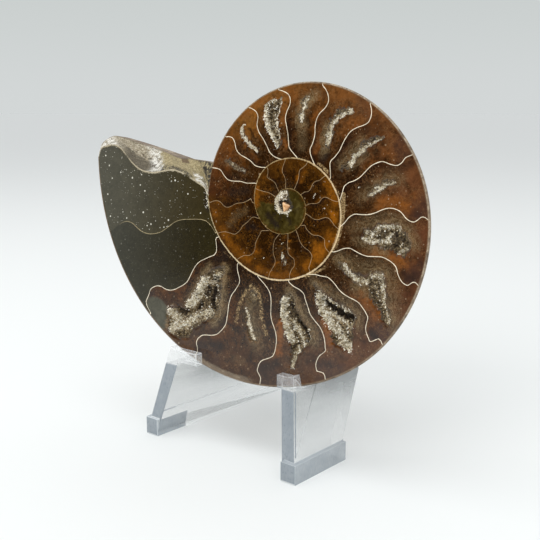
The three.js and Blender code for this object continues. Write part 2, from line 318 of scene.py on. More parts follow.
# Walls between the chambers, from the spiral wall outwards, as x, y pairs in millimetres from the pole.
SEPTA = [
    [-3.2, 1.8, -4.1, 2.25, -4.9, 2.5, -5.7, 2.6, -7.4, 2.9],
    [-2.5, 3.4, -3, 4.3, -3.65, 4.9, -4.45, 5.3, -5.35, 5.9, -5.25, 6.45, -5.3, 7.4],
    [-0.5, 3.95, -0.6, 5.1, -1, 6.1, -1.6, 7, -1.6, 7.8, -1.4, 8.5, -1.05, 9.5],
    [2, 4.2, 2.35, 5.1, 2.6, 6.1, 2.6, 6.9, 2.7, 7.5, 3.4, 8.05, 4.2, 8.7],
    [4.25, 3.05, 5.1, 3.2, 5.75, 3.9, 6.1, 4.8, 6.6, 5.3, 7.6, 5.6, 8.4, 6.2],
    [4.9, 0.3, 6, 0.75, 7, 0.8, 7.9, 1.1, 8.4, 1.75, 9, 2.2, 9.75, 2.2, 10.5, 1.9, 11.5, 1.6, 12.6, 1.5],
    [4.9, -1.4, 5.75, -1.75, 6.6, -2.25, 8, -2.45, 9, -2.1, 9.75, -1.9, 10.6, -2.05, 11.25, -2.6, 12, -3.4,
     12.75, -3.9],
    [4, -4, 4.9, -3.85, 5.25, -4.4, 6, -5.1, 7.1, -5.7, 8.25, -5.7, 9.25, -6, 9.9, -6.5, 10, -7.4, 10.4,
     -8.25, 11, -8.75],
    [3.05, -5.4, 3.4, -6, 3.85, -7, 4.55, -7.95, 5.45, -8.6, 6.35, -9.05, 6.95, -9.65, 7.2, -10.2, 7.05, -11,
     6.6, -12.6],
    [0.9, -6, 1, -6.9, 0.98, -8.05, 1.15, -9.2, 1.35, -10.1, 2.05, -10.65, 2.7, -11, 3, -11.8, 3, -12.6, 2.5,
     -13.3, 2, -14.6],
    [-1.3, -6.2, -1.6, -6.6, -2.15, -7.25, -2.5, -8.3, -2.55, -9.4, -2.4, -10.5, -1.95, -11.45, -1.8, -12.1,
     -1.95, -12.8, -2.4, -13.6, -3, -14.6],
    [-4, -5.6, -4.9, -5.7, -5.8, -5.8, -6.25, -6.6, -6.9, -7.8, -7.25, -8.7, -7.3, -9.9, -7.95, -11, -8.9,
     -11.45, -9.75, -11.5, -10.75, -11.9, -11.75, -12.5],
    [-7, -3.2, -8, -3, -8.5, -3.1, -9.25, -3.75, -10.1, -4.5, -10.9, -5.1, -11.4, -5.9, -12.1, -6.6, -12.9,
     -7.1, -14.5, -6.9, -15.5, -6.8, -16.5, -6.9, -17.4, -7.2],
    [-8.75, 0.05, -9.1, 0.7, -9.75, 0.6, -10.4, 0.25, -11.25, -0.05, -12.5, -0.25, -13.4, -0.5, -14.25, -0.95,
     -15, -1.25, -16, -1.25, -16.6, -0.95, -17.25, -0.4, -18, -0.1, -19, -0.1, -20.2, -0.5],
    [-8.25, 4.3, -10.55, 4.25, -12.45, 4.55, -14.4, 4.55, -15.9, 4.8, -17.1, 5.7, -18.05, 6.75, -19.6, 7.25,
     -20.4, 7.3],
    [-5.55, 7.7, -7.1, 7.8, -8.6, 8.1, -9.95, 9.05, -11.7, 9.9, -13.05, 10.5, -14.2, 11.65, -14.75, 13.2,
     -15.55, 14.15, -16.5, 14.35, -17.2, 14.3],
    [-2, 9.55, -3.4, 10, -4.95, 10.9, -5.9, 12.25, -7.1, 13.95, -8.4, 15.5, -9, 17.05, -8.9, 18.75, -9.4,
     19.75, -10.55, 20.5, -11.5, 20.8],
    [1.95, 10, 1, 10.9, -0.15, 12.05, -0.55, 13.4, -0.8, 14.9, -1.3, 16.65, -1.75, 18.6, -1.5, 19.9, -0.9,
     21.25, -0.9, 22.6, -1.7, 23.7, -2.85, 24.2, -4, 24.5],
    [6.25, 8.75, 5.45, 10.1, 4.9, 11.65, 5.4, 13.2, 5.8, 14.9, 5.75, 16.85, 6.05, 18.4, 6.7, 19.55, 7.75,
     20.5, 8.45, 21.65, 8.4, 23, 7.75, 24.3, 6.8, 25.3],
    [10.25, 6.1, 10.1, 7.6, 9.9, 9.15, 11.05, 10.7, 11.9, 11.85, 12.6, 13.4, 13.35, 14.75, 14.3, 15.9, 15.65,
     16.65, 17, 17.1, 17.95, 17.6, 18.55, 18.75, 18.6, 20.1, 18.15, 21.5],
    [12.8, 1.85, 13.2, 3.2, 13.55, 4.55, 14.3, 5.3, 15.85, 5.95, 17, 6.65, 18.15, 7.8, 19.3, 8.95, 20.65, 9.7,
     22, 10, 23.55, 9.55, 25.1, 9.35, 26.05, 9.9, 26.8, 10.9, 27.9, 11.4],
    [13.25, -3.55, 14.15, -2.8, 15.1, -1.6, 16.1, -0.9, 18, -0.75, 19.55, -0.65, 21.1, -0.2, 22.6, 0.5, 23.95,
     0.9, 25.5, 0.8, 26.85, 0.2, 27.8, -0.75, 28.75, -1.3, 29.75, -1.4, 30.5, -0.9, 31.1, -0.4, 31.85, -0.4,
     32.6, -0.85],
    [12.05, -8.8, 13, -8.55, 14.35, -7.95, 15.9, -7.7, 17.2, -8.15, 18.6, -8.65, 19.9, -8.95, 21.45, -8.9,
     23.4, -8.85, 24.7, -9.25, 25.9, -9.9, 26.65, -10.65, 27.1, -11.8, 27.8, -12.95, 28.8, -13.7, 29.5, -13.8,
     30.3, -13.2, 30.9, -13.1, 31.6, -13.6],
    [5.85, -14, 7.8, -13.85, 9.7, -14, 11.2, -14.1, 12.2, -14.6, 13.15, -15.35, 14.1, -16.3, 15.3, -17.1,
     16.6, -17.65, 18, -18.1, 18.9, -18.5, 19.9, -19.4, 20.85, -20.5, 21.3, -21.5, 21.1, -22.5, 21, -23.4,
     21.25, -24.4, 21.8, -25.35, 22.4, -26, 23, -25.8, 23.6, -25.35, 24.3, -25.35, 25, -26.2],
    [1.9, -16, 3.1, -16.8, 4.6, -17.35, 5.8, -18.1, 6.35, -19.3, 7.1, -20.8, 7.9, -22.4, 8.9, -23.4, 10.3,
     -24.6, 11.2, -25.9, 11.8, -27.5, 12, -28.8, 11.9, -29.8, 11.05, -30.5, 10.4, -31.5, 10.1, -32.5, 10.3,
     -33.6, 10.65, -34.1, 11.6, -34.1, 12.3, -34.5, 12.6, -35.4],
    [-6.15, -15.7, -5, -16.6, -4.05, -17.35, -3.1, -18.3, -2.5, -19.3, -2.2, -20.6, -2.1, -22.15, -2, -23.7,
     -1.55, -25.2, -0.8, -26.6, -0.3, -27.9, -0.1, -29.3, -0.2, -30.6, -0.45, -31.95, -1.1, -32.9, -2.1,
     -33.4, -3.25, -33.9, -4.05, -34.65, -4.4, -35.6, -4.5, -36.6, -4.05, -37.15, -3.5, -38],
    [-11.65, -13.6, -11.65, -14.65, -11.35, -15.6, -10.95, -16.6, -10.8, -17.5, -11.15, -18.3, -11.9, -19.5,
     -12.7, -20.6, -13.15, -21.8, -13.4, -22.9, -13.5, -24.5, -13.65, -26, -13.85, -27.35, -14.4, -28.3,
     -15.4, -29.4, -16.35, -30.15, -17.5, -30.5, -18.85, -30.65, -20, -30.8, -20.9, -31.3, -21.7, -32.15,
     -21.9, -33, -21.6, -33.8, -21.4, -34.8],
    [-18.23, -8.4, -17.85, -9.9, -17.7, -11.2, -18.15, -12.1, -19.4, -12.7, -20.9, -13.4, -22.1, -14, -23,
     -14.7, -23.9, -15.9, -24.8, -17.6, -25.7, -19.15, -26.5, -19.85, -27.8, -20.6, -29.4, -21.4, -30.7,
     -21.7, -32.1, -21.6, -33.2, -21.2, -34.4, -21.1, -35.7, -21.5, -36.7, -22.2, -37.1, -23.4, -37.5, -24.3,
     -37.8, -25.2, -37.5, -26.3, -36.7, -27.2, -36.3, -28.2],
    [-18.3, -7.4, -19.4, -6.1, -20.6, -5.1, -22, -4.65, -23.8, -4.6, -25.9, -4.75, -28, -4.95, -29.85, -5.5,
     -31.4, -6.4, -33, -7.5, -34.6, -8.4, -36.4, -8.9, -38.5, -9.05, -40.1, -8.8, -41.7, -8.1, -43.25, -7.15,
     -44.85, -6.65, -46.4, -6.85, -48, -7.7, -51, -9.6],
]


def turn_position(growth, distance):
    """Fraction of the way across the whorl."""
    inner = wall_radius(growth - 360)
    return (distance - inner) / (wall_radius(growth) - inner)


BEFORE_FIRST_WALL, AFTER_LAST_WALL = 14, 34


def chamber_phase(growth, across):
    """Counts the walls passed on the way to a point, with the fraction of the chamber that it is in."""
    passed = FIRST - BEFORE_FIRST_WALL
    lines = [np.full_like(across, passed)]
    for septum in SEPTA:
        x, y = np.array(septum, float).reshape(-1, 2).T
        at = np.unwrap(-np.degrees(np.arctan2(y, x)), period=360)
        at += passed + (at[0] - passed) % 360 - at[0]
        passed = at[0]
        where = turn_position(at, np.hypot(x, y))
        keep = np.concatenate([[True], np.diff(np.maximum.accumulate(where)) > 1e-4])
        lines.append(smooth_through(across, where[keep], at[keep]))
    lines.append(lines[-1] + AFTER_LAST_WALL)
    lines = np.maximum.accumulate(np.stack(lines), 0)
    j = np.clip((lines <= growth).sum(0) - 1, 0, len(lines) - 2)
    before = np.take_along_axis(lines, j[None], 0)[0]
    after = np.take_along_axis(lines, j[None] + 1, 0)[0]
    return j + (growth - before) / np.maximum(after - before, 0.5)


def flat_point(angle, distance):
    return np.stack([distance * np.cos(np.radians(angle)), distance * np.sin(np.radians(angle))], -1)


def grid_piece(name, columns, rows):
    """A grid, with the column and row of each of its points."""
    bpy.ops.object.select_all(action="DESELECT")
    bpy.ops.mesh.primitive_grid_add(x_subdivisions=columns, y_subdivisions=rows, size=1)
    piece = bpy.context.object
    piece.name = name
    flat = np.empty(len(piece.data.vertices) * 3)
    piece.data.vertices.foreach_get("co", flat)
    flat = flat.reshape(-1, 3)
    column, row = (flat[:, 0] + 0.5) * columns, (flat[:, 1] + 0.5) * rows
    return piece, np.rint(column).astype(int), np.rint(row).astype(int)


def set_map(piece, name, values):
    """Writes a UV map, either one value for each point or one for each corner."""
    mesh = piece.data
    layer = mesh.uv_layers.get(name) or mesh.uv_layers.new(name=name)
    if len(values) == len(mesh.vertices):
        corners = np.empty(len(mesh.loops), int)
        mesh.loops.foreach_get("vertex_index", corners)
        values = values[corners]
    layer.uv.foreach_set("vector", values.astype(np.float32).ravel())


def in_part(points):
    """Places in the part, of points in millimetres on and behind the polished face."""
    place = np.array(to_part)
    return points * MM @ place[:3, :3].T + place[:3, 3]


# The stone stays just inside its solid.
WITHIN_SOLID = 0.9992
SIDE_GAP = 0.02 * MM


def set_points(piece, flat, height):
    points = in_part(np.column_stack([flat * WITHIN_SOLID, height]))
    points[:, 0] = np.maximum(points[:, 0], cad_box[0][0] + SIDE_GAP)
    piece.data.vertices.foreach_set("co", points.astype(np.float32).ravel())
    piece.data.update()


# Open hollows on the face: the deepest point in millimetres, then the outline as x, y pairs.
HOLLOWS = [
    [1.5, -15.2, -14.6, -17.3, -15.2, -19.3, -15.9, -20.6, -17.6, -21.8, -19.8, -23.2, -21.6, -24.4, -23.8,
     -25.6, -25.2, -27.6, -25.2, -29.8, -25.6, -30.8, -27.2, -30.2, -29.5, -29.6, -31.4, -27.5, -32.3, -24.6,
     -32, -23, -30, -20.6, -27.8, -18.2, -26.8, -16.6, -25.6, -15.9, -23, -16.1, -20, -15.6, -17],
    [0.4, -8.8, -22.8, -7.6, -23.6, -6.9, -26, -5.4, -28.6, -5.5, -29.9, -6.9, -29.8, -7.6, -27.5, -8.1, -25],
    [0.3, -7.9, -18.9, -6.6, -18.9, -5.9, -20, -6.6, -21.2, -7.6, -21],
    [1.5, 1.2, -19, 2.4, -18.4, 3.6, -19.4, 4.3, -21.4, 5.6, -23.4, 7.2, -24.8, 8.2, -26.4, 8.3, -28.2, 7.4,
     -29.4, 6.2, -29.8, 5.6, -31.2, 5, -33.4, 4.3, -34.2, 3.7, -33, 4.1, -30.8, 3.6, -29, 2.4, -27.4, 1.2,
     -25.4, 0.6, -23.2, 0.6, -20.8],
    [1.5, 8.4, -16, 9.8, -16.9, 11, -18, 12.8, -18.8, 14.8, -19.4, 16.8, -20.2, 18.3, -21.1, 18.3, -22.6,
     17.8, -24.2, 18, -26.2, 18.2, -28, 16.9, -28.4, 15.4, -27.6, 13.9, -27.4, 13.2, -26.2, 13.3, -25, 12,
     -23.8, 10.4, -22, 9.6, -20.4, 9.2, -18.6],
    [0.9, 13.2, -10.3, 15.2, -11.2, 16.6, -12.6, 18.2, -13.2, 19.6, -13.2, 20.6, -12.4, 22.6, -11.9, 24,
     -12.4, 24.5, -14, 24.7, -16, 25, -18, 25.8, -19.6, 26.2, -21.2, 25.4, -22.2, 24.1, -21, 23.5, -19.2,
     22.6, -18.4, 21.3, -17.2, 21.2, -15.6, 20.4, -14.8, 18.8, -14.9, 17, -14.1, 15.4, -12.9, 14.2, -11.8],
    [1.3, 18.3, -5.2, 19, -4, 20.8, -3.5, 22, -2.7, 24, -2.2, 26.2, -2.3, 27.2, -3.2, 28.2, -4.2, 29, -5.6,
     29.2, -7.2, 28, -8.2, 26.5, -7.9, 25, -7.1, 24, -7.5, 22.6, -6.6, 20.5, -6.3, 19.1, -6.1],
    [0.8, 18.8, 2.7, 20.4, 3.2, 21.8, 4.3, 23.4, 5, 24.8, 5.6, 24.4, 6.6, 23, 6.4, 21.6, 5.6, 20.4, 4.4, 19.2,
     3.7],
    [0.8, 12.4, 7.7, 13.8, 8.2, 15.4, 9.4, 16.6, 10.8, 18, 12, 19.6, 13.2, 21.4, 14, 21.6, 15, 20, 14.9, 18,
     14.2, 16.4, 13, 15.4, 11.2, 14.2, 9.6, 12.8, 8.7],
    [0.8, 8.2, 12, 9.2, 12.4, 9.8, 14.2, 10.2, 16.6, 11.2, 18, 12.8, 19, 14.2, 19.4, 14.2, 20.2, 12.4, 20.4,
     11, 20.2, 9.6, 18.6, 8.7, 16.6, 8.5, 14.2],
    [0.3, 1.8, 17.4, 2.7, 17.4, 2.9, 19.4, 3.4, 21, 4, 22.2, 3.4, 23, 2.4, 22.2, 1.9, 20],
    [1.2, -2.8, 22.6, -4.4, 22, -5.8, 22.1, -7.3, 21.4, -7.2, 20.2, -6.6, 19.4, -6.7, 17.2, -6.2, 15.8, -5,
     14.8, -4.2, 13.8, -3.6, 12.4, -2.5, 12.1, -2.3, 13.2, -3, 15, -3.7, 16.8, -3.8, 19, -3.1, 21],
    [0.6, -12.6, 17, -13.2, 15.8, -12.8, 14.4, -11.4, 12.9, -9.8, 11.8, -8.4, 11.1, -8.2, 11.6, -9.6, 12.5,
     -11, 13.6, -12.1, 14.8, -12.4, 15.8],
    [0.25, -17, 9.1, -15.4, 8, -13.4, 6.9, -11, 6.6, -10.9, 7.1, -13.2, 7.6, -15.2, 8.9],
    [0.3, -0.6, -9.9, 0, -10, 0.4, -11, 1, -11.4, 1, -12.3, 0.2, -12.4, -0.2, -11.2],
    [0.6, -0.1, 3.2, -1.3, 2.9, -2.4, 2, -2.9, 0.4, -2.4, -0.7, -1.2, -1.7, -0.2, -1.9, 0.8, -1.4, 1.3, -0.3,
     1, 0.3, 0.3, 1.4, 0.3, 2.6],
]
# Soft strokes on the face: reach and strength, then the middle line as x, y pairs.
BRIGHT_STRINGS = [
    (0.6, 0.75, -21.1, 7, -21.5, 4.4, -21.4, 1.5, -20.9, -1.6),
    (1.6, 1, -20.8, -18, -22.4, -21.4, -24.6, -24.4), (2.2, 0.9, -30, -26.5, -28.4, -27.5, -29.3, -30.3),
    (2.0, 0.85, -27, -29.5, -24.5, -28, -22, -26.5, -19.6, -25.6), (1.2, 0.8, -17, -16.4, -19, -18.4),
    (1.4, 0.3, -16.8, -19, -17.4, -24.5), (0.6, 1, -8.5, -23.2, -7.8, -24.6, -7.4, -26.6, -6.7, -28.3, -5.9,
    -29.4), (0.5, 0.5, -7.3, -19.6, -6.6, -20.6), (1.2, 1, 1, -19.8, 0.9, -22.6, 1.9, -25.6, 3.3, -28.2),
    (1.0, 0.9, 3.4, -24.4, 5, -26.6, 6.5, -28.6), (0.7, 1, 5.3, -29.8, 4.6, -31.6, 4.4, -33.8),
    (0.5, 0.8, 7.6, -25.4, 8, -27.6), (1.5, 1, 9.5, -18.2, 10.4, -21, 12.2, -23.2, 14.4, -24.8, 15.6, -26.6,
    17.4, -27.9), (1.2, 0.8, 12.4, -21.4, 15, -22.8, 17.4, -23.6), (0.5, 0.9, 10.6, -17.8, 13.2, -19.2, 16.4,
    -20.2, 18.1, -21.4), (0.8, 1, 15, -11.4, 16.4, -12.8, 18.2, -13.9, 20.2, -14.2), (1.0, 0.8, 21.2, -12.8,
    23.4, -12.6, 23.8, -15, 24.2, -17.8), (0.6, 0.8, 25, -19.8, 25.8, -21.4), (0.9, 1, 19, -5.4, 20.6, -5.9,
    22.6, -5.9, 24, -5.3, 24.2, -4.2), (0.7, 0.9, 21.2, -3.6, 23, -2.9, 25, -2.6, 26.6, -3),
    (0.5, 0.9, 19.4, -4.3, 21.2, -4.6), (0.8, 0.9, 26.8, -7.4, 28, -7), (0.5, 1, 24, -7.2),
    (0.6, 0.9, 19.4, 3.2, 21, 4.2, 22.4, 5.2, 24.2, 5.9), (0.45, 1, 17, 4.6),
    (0.8, 1, 14.6, 9.2, 16, 11.4, 17.4, 12.6), (0.6, 0.8, 17.4, 12.6, 19.4, 13.4, 21.2, 14.5), (0.7, 1, 8.9,
    13.4, 9.3, 16.2, 10.2, 17.9, 12, 19, 13.8, 19.9), (0.5, 1, 2.3, 17.6, 2.3, 19.4, 2.9, 21.4, 3.6, 22.4),
    (0.8, 1, -7, 20.9, -6.8, 19.4, -6.6, 17, -5.6, 15.4, -4.3, 14, -3.3, 12.3),
    (0.6, 0.8, -4.4, 22, -6.6, 21.6), (0.5, 0.8, -3.2, 22.2, -3.8, 19, -3.6, 16.6, -2.6, 13.4),
    (0.5, 0.4, -5, 20.6, -5.2, 17.4, -4.4, 15.6), (0.6, 1, -12.5, 16.8, -13, 15.4, -11.8, 13.7, -10, 12.3,
    -8.5, 11.3), (0.6, 0.7, -14.8, 8.1), (0.4, 0.5, -14, 7.6, -11.4, 6.9), (0.4, 1, -0.4, -10.2, 0.1, -11.1),
    (0.6, 1, 0.5, -11.9), (0.4, 0.9, -4.85, -11.8), (0.4, 0.8, -0.2, -8), (0.35, 0.6, 7, 2.9, 6.3, 2),
    (0.3, 0.5, 9.5, 0, 8.9, -0.6), (0.75, 1, -0.4, 2.8, -1.5, 2.5, -2.4, 1.4, -2.6, 0.2, -2.1, -0.9, -0.9,
    -1.6, 0.2, -1.5, 0.8, -1), (0.4, 0.9, -1.6, 1.6, -0.3, 1.4),
]
CLOUDS = [
    (1.9, 0.9, -14.9, -15, -15.2, -19, -15, -24, -17, -27.5),
    (1.6, 0.7, -19.5, -14.8, -22, -18.6, -25.4, -24), (1.8, 0.7, -31.8, -26.5, -31.2, -30),
    (3.2, 0.45, -7.2, -20.5, -7, -24, -5.6, -28, -4.6, -31), (2, 0.7, 2.2, -17.8, 4.6, -20.4, 6.8, -23.2, 9.2,
    -25.6, 9.6, -28), (1.8, 0.65, 8, -15.4, 11.4, -16.4, 15.4, -18, 19, -20.2, 19.6, -23), (2.6, 0.65, 13.5,
    -9.8, 17, -10.8, 21, -10.6, 25.4, -11.4, 26.6, -14.6, 26.8, -18.6, 27.4, -22),
    (2.4, 0.6, 18, -15.6, 20.4, -15.8), (2.2, 0.65, 16, -3.4, 18, -2.4, 22, -1.2, 26, -0.8, 28.6, -3, 30.2,
    -6), (1.8, 0.5, 17, -6, 20, -7.4, 24, -8), (2, 0.9, 26.4, -5), (1.4, 0.8, 22.4, -4.6),
    (2.4, 0.45, 17.4, 2.6, 20.6, 5.2, 23.4, 7.2, 26, 6.6), (1.8, 0.5, 12.2, 9, 14.4, 11.6, 16.6, 14),
    (1.4, 0.4, 14.5, 8.4, 18, 10.8), (1.6, 0.7, 8.2, 10.8, 8.2, 13.6, 8.4, 16.8), (2, 0.8, 2.9, 12.6, 2.6,
    15.6, 1.8, 18.6, 3, 21.6, 5.4, 23.2), (1.6, 0.55, -14.4, -5, -12.8, -2.9, -10.6, -1.8),
    (1, 0.35, -16.6, 8.8, -13, 7.2), (1.4, 0.4, -11, -34.6, -8.6, -34.8),
]
GLOWS = [
    (1.6, 0.9, 0.7, -25.2, 0.9, -28, 0.4, -31.4), (1.7, 0.85, 11.4, -23.4, 12.4, -25.4, 12.8, -27.4),
    (2.2, 0.8, 19.6, -17, 22, -18.8, 23.4, -20.4), (1.7, 0.9, 22, -8.3, 25, -8.6, 27.6, -9.4, 29, -10),
    (1.6, 0.5, 30.4, -9.6), (2.4, 0.9, 22, 1.6, 25, 1.9, 28, 1.4, 29.4, 2.4),
    (2, 0.4, 22.6, 12, 25, 11.6, 27, 12.8), (1.7, 0.5, 12.6, 15.8, 14.8, 17.6, 16.6, 18.4),
    (1.4, 0.9, 5.8, 11.6, 6.6, 14, 6.2, 16.5, 5.8, 19), (1.3, 0.6, 2.6, 5.6, 3.6, 7),
    (1.7, 0.55, 19, 17, 20.6, 19), (1.1, 0.8, -1.6, 13.5, -1.2, 12.6), (1.1, 0.5, -2.2, 17.5, -1.9, 21),
    (1.8, 0.6, 0.4, 22.4, -1.5, 24.5), (1.6, 0.5, -12.5, 19, -8, 22.5), (1.2, 0.5, -8.8, 9.6, -10.6, 10.4),
    (1.6, 0.6, 9.6, 5.4, 10.8, 3.4, 11.8, 1.2), (1.4, 1, 11.4, -1.2, 11.8, -2),
    (1.7, 0.7, 11.2, -5.6, 12.2, -6.4), (1.9, 1, 8.2, -8.2, 9.4, -8.8, 8.4, -10.4), (1.4, 0.8, 10.4, -7.2),
    (1.6, 0.6, 5.6, -12.6, 7, -11.6), (1, 0.9, -7.1, -10.4), (0.8, 0.5, -6, -10.2), (1.5, 0.5, -8.6, -12.4,
    -10.8, -11.4, -13.8, -9.4, -16.4, -6.4), (1.3, 0.5, -18.6, -3), (1, 0.7, -7.7, 3.2, -7.8, 0.6, -7, -0.8),
    (1, 0.35, -6, 5.6), (0.6, 0.7, 1.4, -7.5), (0.7, 0.5, -2, -12.8, -1, -12.4),
    (1.2, 0.4, -6, -14, -1, -15, 4, -14.4),
]
# Dark strokes mark dark patches of the stone, and painted shade in gaps and deep parts of the hollows, as
# round the amber crystal.
DARKS = [
    (0.75, 0.95, -21.2, 7.4, -21.6, 4, -21.5, 0.8, -21, -2.4), (1.1, 0.6, -24.8, -21.2),
    (1.0, 0.5, -27.4, -26.2, -25.6, -25.4), (1.2, 0.5, -16, -19.4, -16.4, -21.4),
    (1.8, 0.85, -3.2, -35.2, -1.4, -34.4, 0.2, -33.6), (1.4, 0.7, -2.4, -36.8),
    (2, 0.8, -20.4, -32.8, -18, -32.2, -15.6, -32.4), (1.4, 0.6, 11.8, -31.6, 13.4, -31.8),
    (1.5, 1, 22.2, -23.8, 23, -24.8), (1.4, 0.6, 27.9, -11.6, 28.8, -12.6, 30, -11.8),
    (1.5, 0.45, 28.6, -0.2, 29.8, 0.4), (1.5, 0.5, 23.4, 8.8, 26, 9, 27.8, 9.8),
    (1.6, 0.45, 17.6, 16.2, 19.4, 16.6, 20, 18.4), (0.8, 1, 2.9, -21.2),
    (0.5, 0.9, 3.9, -22.8, 5.2, -24.6, 6.6, -25.8), (0.6, 1, 7.3, -26.4, 7.5, -28), (0.9, 1, 10.6, -18.8, 12,
    -19.9, 13.8, -20.8, 16.2, -21.6, 17.8, -21.6), (0.8, 0.9, -17.6, -17.4, -18.6, -17.8),
    (0.7, 0.8, -19.6, -19.6, -20.4, -21.4), (0.7, 0.8, -18, -20, -18.6, -22.6, -18, -24),
    (0.5, 0.8, -21.6, -23.6, -22.4, -25.4), (0.6, 0.7, -26, -26.8), (0.5, 0.6, 22, -5.2),
    (0.5, 0.6, 25.4, -4), (1.2, 1, -4.4, -2.2, -3.2, -3.4, -1.8, -4.6), (0.8, 1, -2.8, -1.9),
    (0.8, 0.7, 0.6, -2.6, 1.4, -3.6), (1.2, 0.4, 2.6, -0.8), (1, 0.8, -1.3, -2.6),
    (0.4, 1, -0.9, 1.1, 0.1, 1.1), (0.45, 1, -1.75, 0.7, -1.35, -0.6, -0.5, -1.55, 0.4, -0.9, 1.2, -0.1, 0.3,
    0.5, -1.6, 0.9), (1.8, 0.7, -14.6, 2, -10.4, 2.6), (1.7, 0.75, -16.2, -9.8, -15, -12.4, -17.6, -13.2),
    (1.3, 0.8, 8, 9.8, 9, 10.6), (1.4, 0.7, -9.6, -5, -7.6, -5.4),
]
CRUST = [
    (0.9, 1, 13.5, 3, 13.75, 0.5, 13.65, -1.5, 13.2, -5, 12.3, -7.9), (0.6, 0.9, 9.4, 7.4, 8.2, 8.5, 7.2, 9),
    (0.6, 0.8, 10.6, -12, 8.4, -13.4, 6, -14.5), (0.5, 0.5, 11.6, 4.6, 12.6, 3),
    (0.45, 0.5, -13.2, -12.6, -15.6, -11.2), (1.1, 0.55, -23, -27.6, -19.8, -26.4),
    (0.9, 0.6, 13.4, -22.4, 17.2, -24.4), (0.8, 0.6, 6, -26, 7.6, -28.4), (1.0, 0.64, -10.9, -26.5, -10.7,
    -24, -10.1, -21.5, -8.9, -19.3, -7.5, -18.1, -6.1, -18.5, -5, -20.5, -4.6, -22.5, -4.3, -25, -3.3, -27,
    -2.7, -28.4),
]
# Outlines on the face, as x, y pairs.
FIRST_CHAMBER = [
    0, 3.4, 1.25, 3.3, 2.4, 2.9, 3.5, 2, 4.3, 0.75, 4.65, -0.6, 4.5, -2.2, 3.85, -3.7, 2.7, -5.05, 1.2, -5.7,
    -0.5, -5.9, -2, -5.7, -3, -5.3, -4.3, -5, -5.4, -4.2, -6.5, -3.2, -7.3, -2, -7.6, -1, -6.9, 0.1, -5.6,
    0.4, -4.2, 0.2, -3.2, 0, -2.8, 1.4, -2, 2.6, -1, 3.2,
]
GREY_LOBE = [
    -37.4, -24.3, -36.2, -23.8, -34.4, -23.7, -32.6, -24.2, -31.1, -25.5, -31, -28, -31.8, -31.4, -34.2,
    -29.8, -36.6, -27.6, -37.6, -25.8,
]


def line_distance(flat, line):
    """Distance of points from a drawn line, or from a single spot."""
    ends = np.array(line, float).reshape(-1, 2)
    nearest = np.hypot(*(flat - ends[0]).T)
    for start, end in zip(ends[:-1], ends[1:]):
        way = end - start
        t = np.clip((flat - start) @ way / (way @ way), 0, 1)
        nearest = np.minimum(nearest, np.hypot(*(flat - start - t[:, None] * way).T))
    return nearest


def outline_distance(flat, outline):
    """Distance of points from a closed outline, below zero inside it."""
    ends = np.array(outline, float).reshape(-1, 2)
    inside = np.zeros(len(flat), bool)
    x, y = flat.T
    for (ax, ay), (bx, by) in zip(ends, np.roll(ends, -1, 0)):
        if ay != by:
            inside ^= ((ay > y) != (by > y)) & (x < (bx - ax) * (y - ay) / (by - ay) + ax)
    return np.where(inside, -1, 1) * line_distance(flat, np.vstack([ends, ends[:1]]))


def stroked(flat, strokes):
    total = np.zeros(len(flat))
    for reach, strength, *line in strokes:
        total = np.maximum(total, strength * smoothstep(1, 0.15, line_distance(flat, line) / reach))
    return total


def noise_at(flat, layer, scale):
    return np.array([noise.noise(Vector((x, y, layer)) * scale) for x, y in flat])


def face_values(flat):
    """The values that the calcite's colours follow, and the depth of the hollows, at points of the face."""
    rough, fine = noise_at(flat, 0, 0.9), noise_at(flat, 5, 2.6)
    wavering = flat + 0.5 * np.column_stack([rough + fine, fine - rough])
    edge = np.full(len(flat), 3.0)
    depth = np.zeros(len(flat))
    for deepest, *outline in HOLLOWS:
        gap = outline_distance(wavering, outline)
        edge = np.minimum(edge, gap)
        floor = deepest * smoothstep(0.05, -0.9, gap) * (0.75 + 0.5 * rough + 0.6 * fine)
        depth = np.maximum(depth, floor.clip(0))
    values = {
        "hollow_edge": edge.clip(-3, 3),
        "bright": stroked(wavering, BRIGHT_STRINGS),
        "cloud": stroked(wavering, CLOUDS),
        "glow": stroked(wavering, GLOWS),
        "dark": stroked(wavering, DARKS),
        "crust": stroked(flat, CRUST),
        "olive": smoothstep(0.2, -0.2, outline_distance(wavering, FIRST_CHAMBER)),
        "grey_lobe": smoothstep(0.15, -0.15, outline_distance(flat, GREY_LOBE)),
    }
    return values, depth * (1 + 0.5 * values["dark"])


def dress(piece, flat):
    """Writes the face's values on a piece, and gives the depth of its hollows."""
    values, depth = face_values(flat)
    for name, value in values.items():
        piece.data.attributes.new(name, "FLOAT", "POINT").data.foreach_set("value", value.astype(np.float32))
    spots = np.column_stack([flat, np.zeros(len(flat))]).astype(np.float32)
    piece.data.attributes.new("on_face", "FLOAT_VECTOR", "POINT").data.foreach_set("vector", spots.ravel())
    return depth


# Wave of the polished edge at the mouth, in degrees, at fractions across the whorl.
MOUTH_WAVE = [
    (0, 0), (0.028, 3.2), (0.09, 5.4), (0.153, 6.8), (0.2, 7.6), (0.247, 7.9), (0.294, 7.9), (0.351, 7),
    (0.407, 5.9), (0.463, 4.9), (0.522, 4.5), (0.573, 4.5), (0.62, 5), (0.668, 6), (0.711, 7.2), (0.756, 8.5),
    (0.798, 9.3), (0.837, 9.4), (0.913, 8.5), (0.985, 6.5), (1, 5.1),
]
# Columns to a turn and rows across it, the eased edge, and the place of the face on the bake sheet.
TURN_COLUMNS, ROWS = 440, 72
EDGE = 0.3
BAKE_CORNER, BAKE_SIZE = (58.1, 46), 102.4


def polished_place(growth, across):
    """Bent growth of a point of the strip, distances of the walls on its line, and its x, y on the face."""
    bent = growth + smooth_through(across, *zip(*MOUTH_WAVE)) * smoothstep(BENT_FROM, LAST, growth)
    inner = wall_radius(bent - 360)
    outer = wall_radius(bent) - EDGE * smoothstep(FIRST + 360, FIRST + 367, growth)
    return bent, inner, outer, flat_point(-bent, inner + (outer - inner) * across)


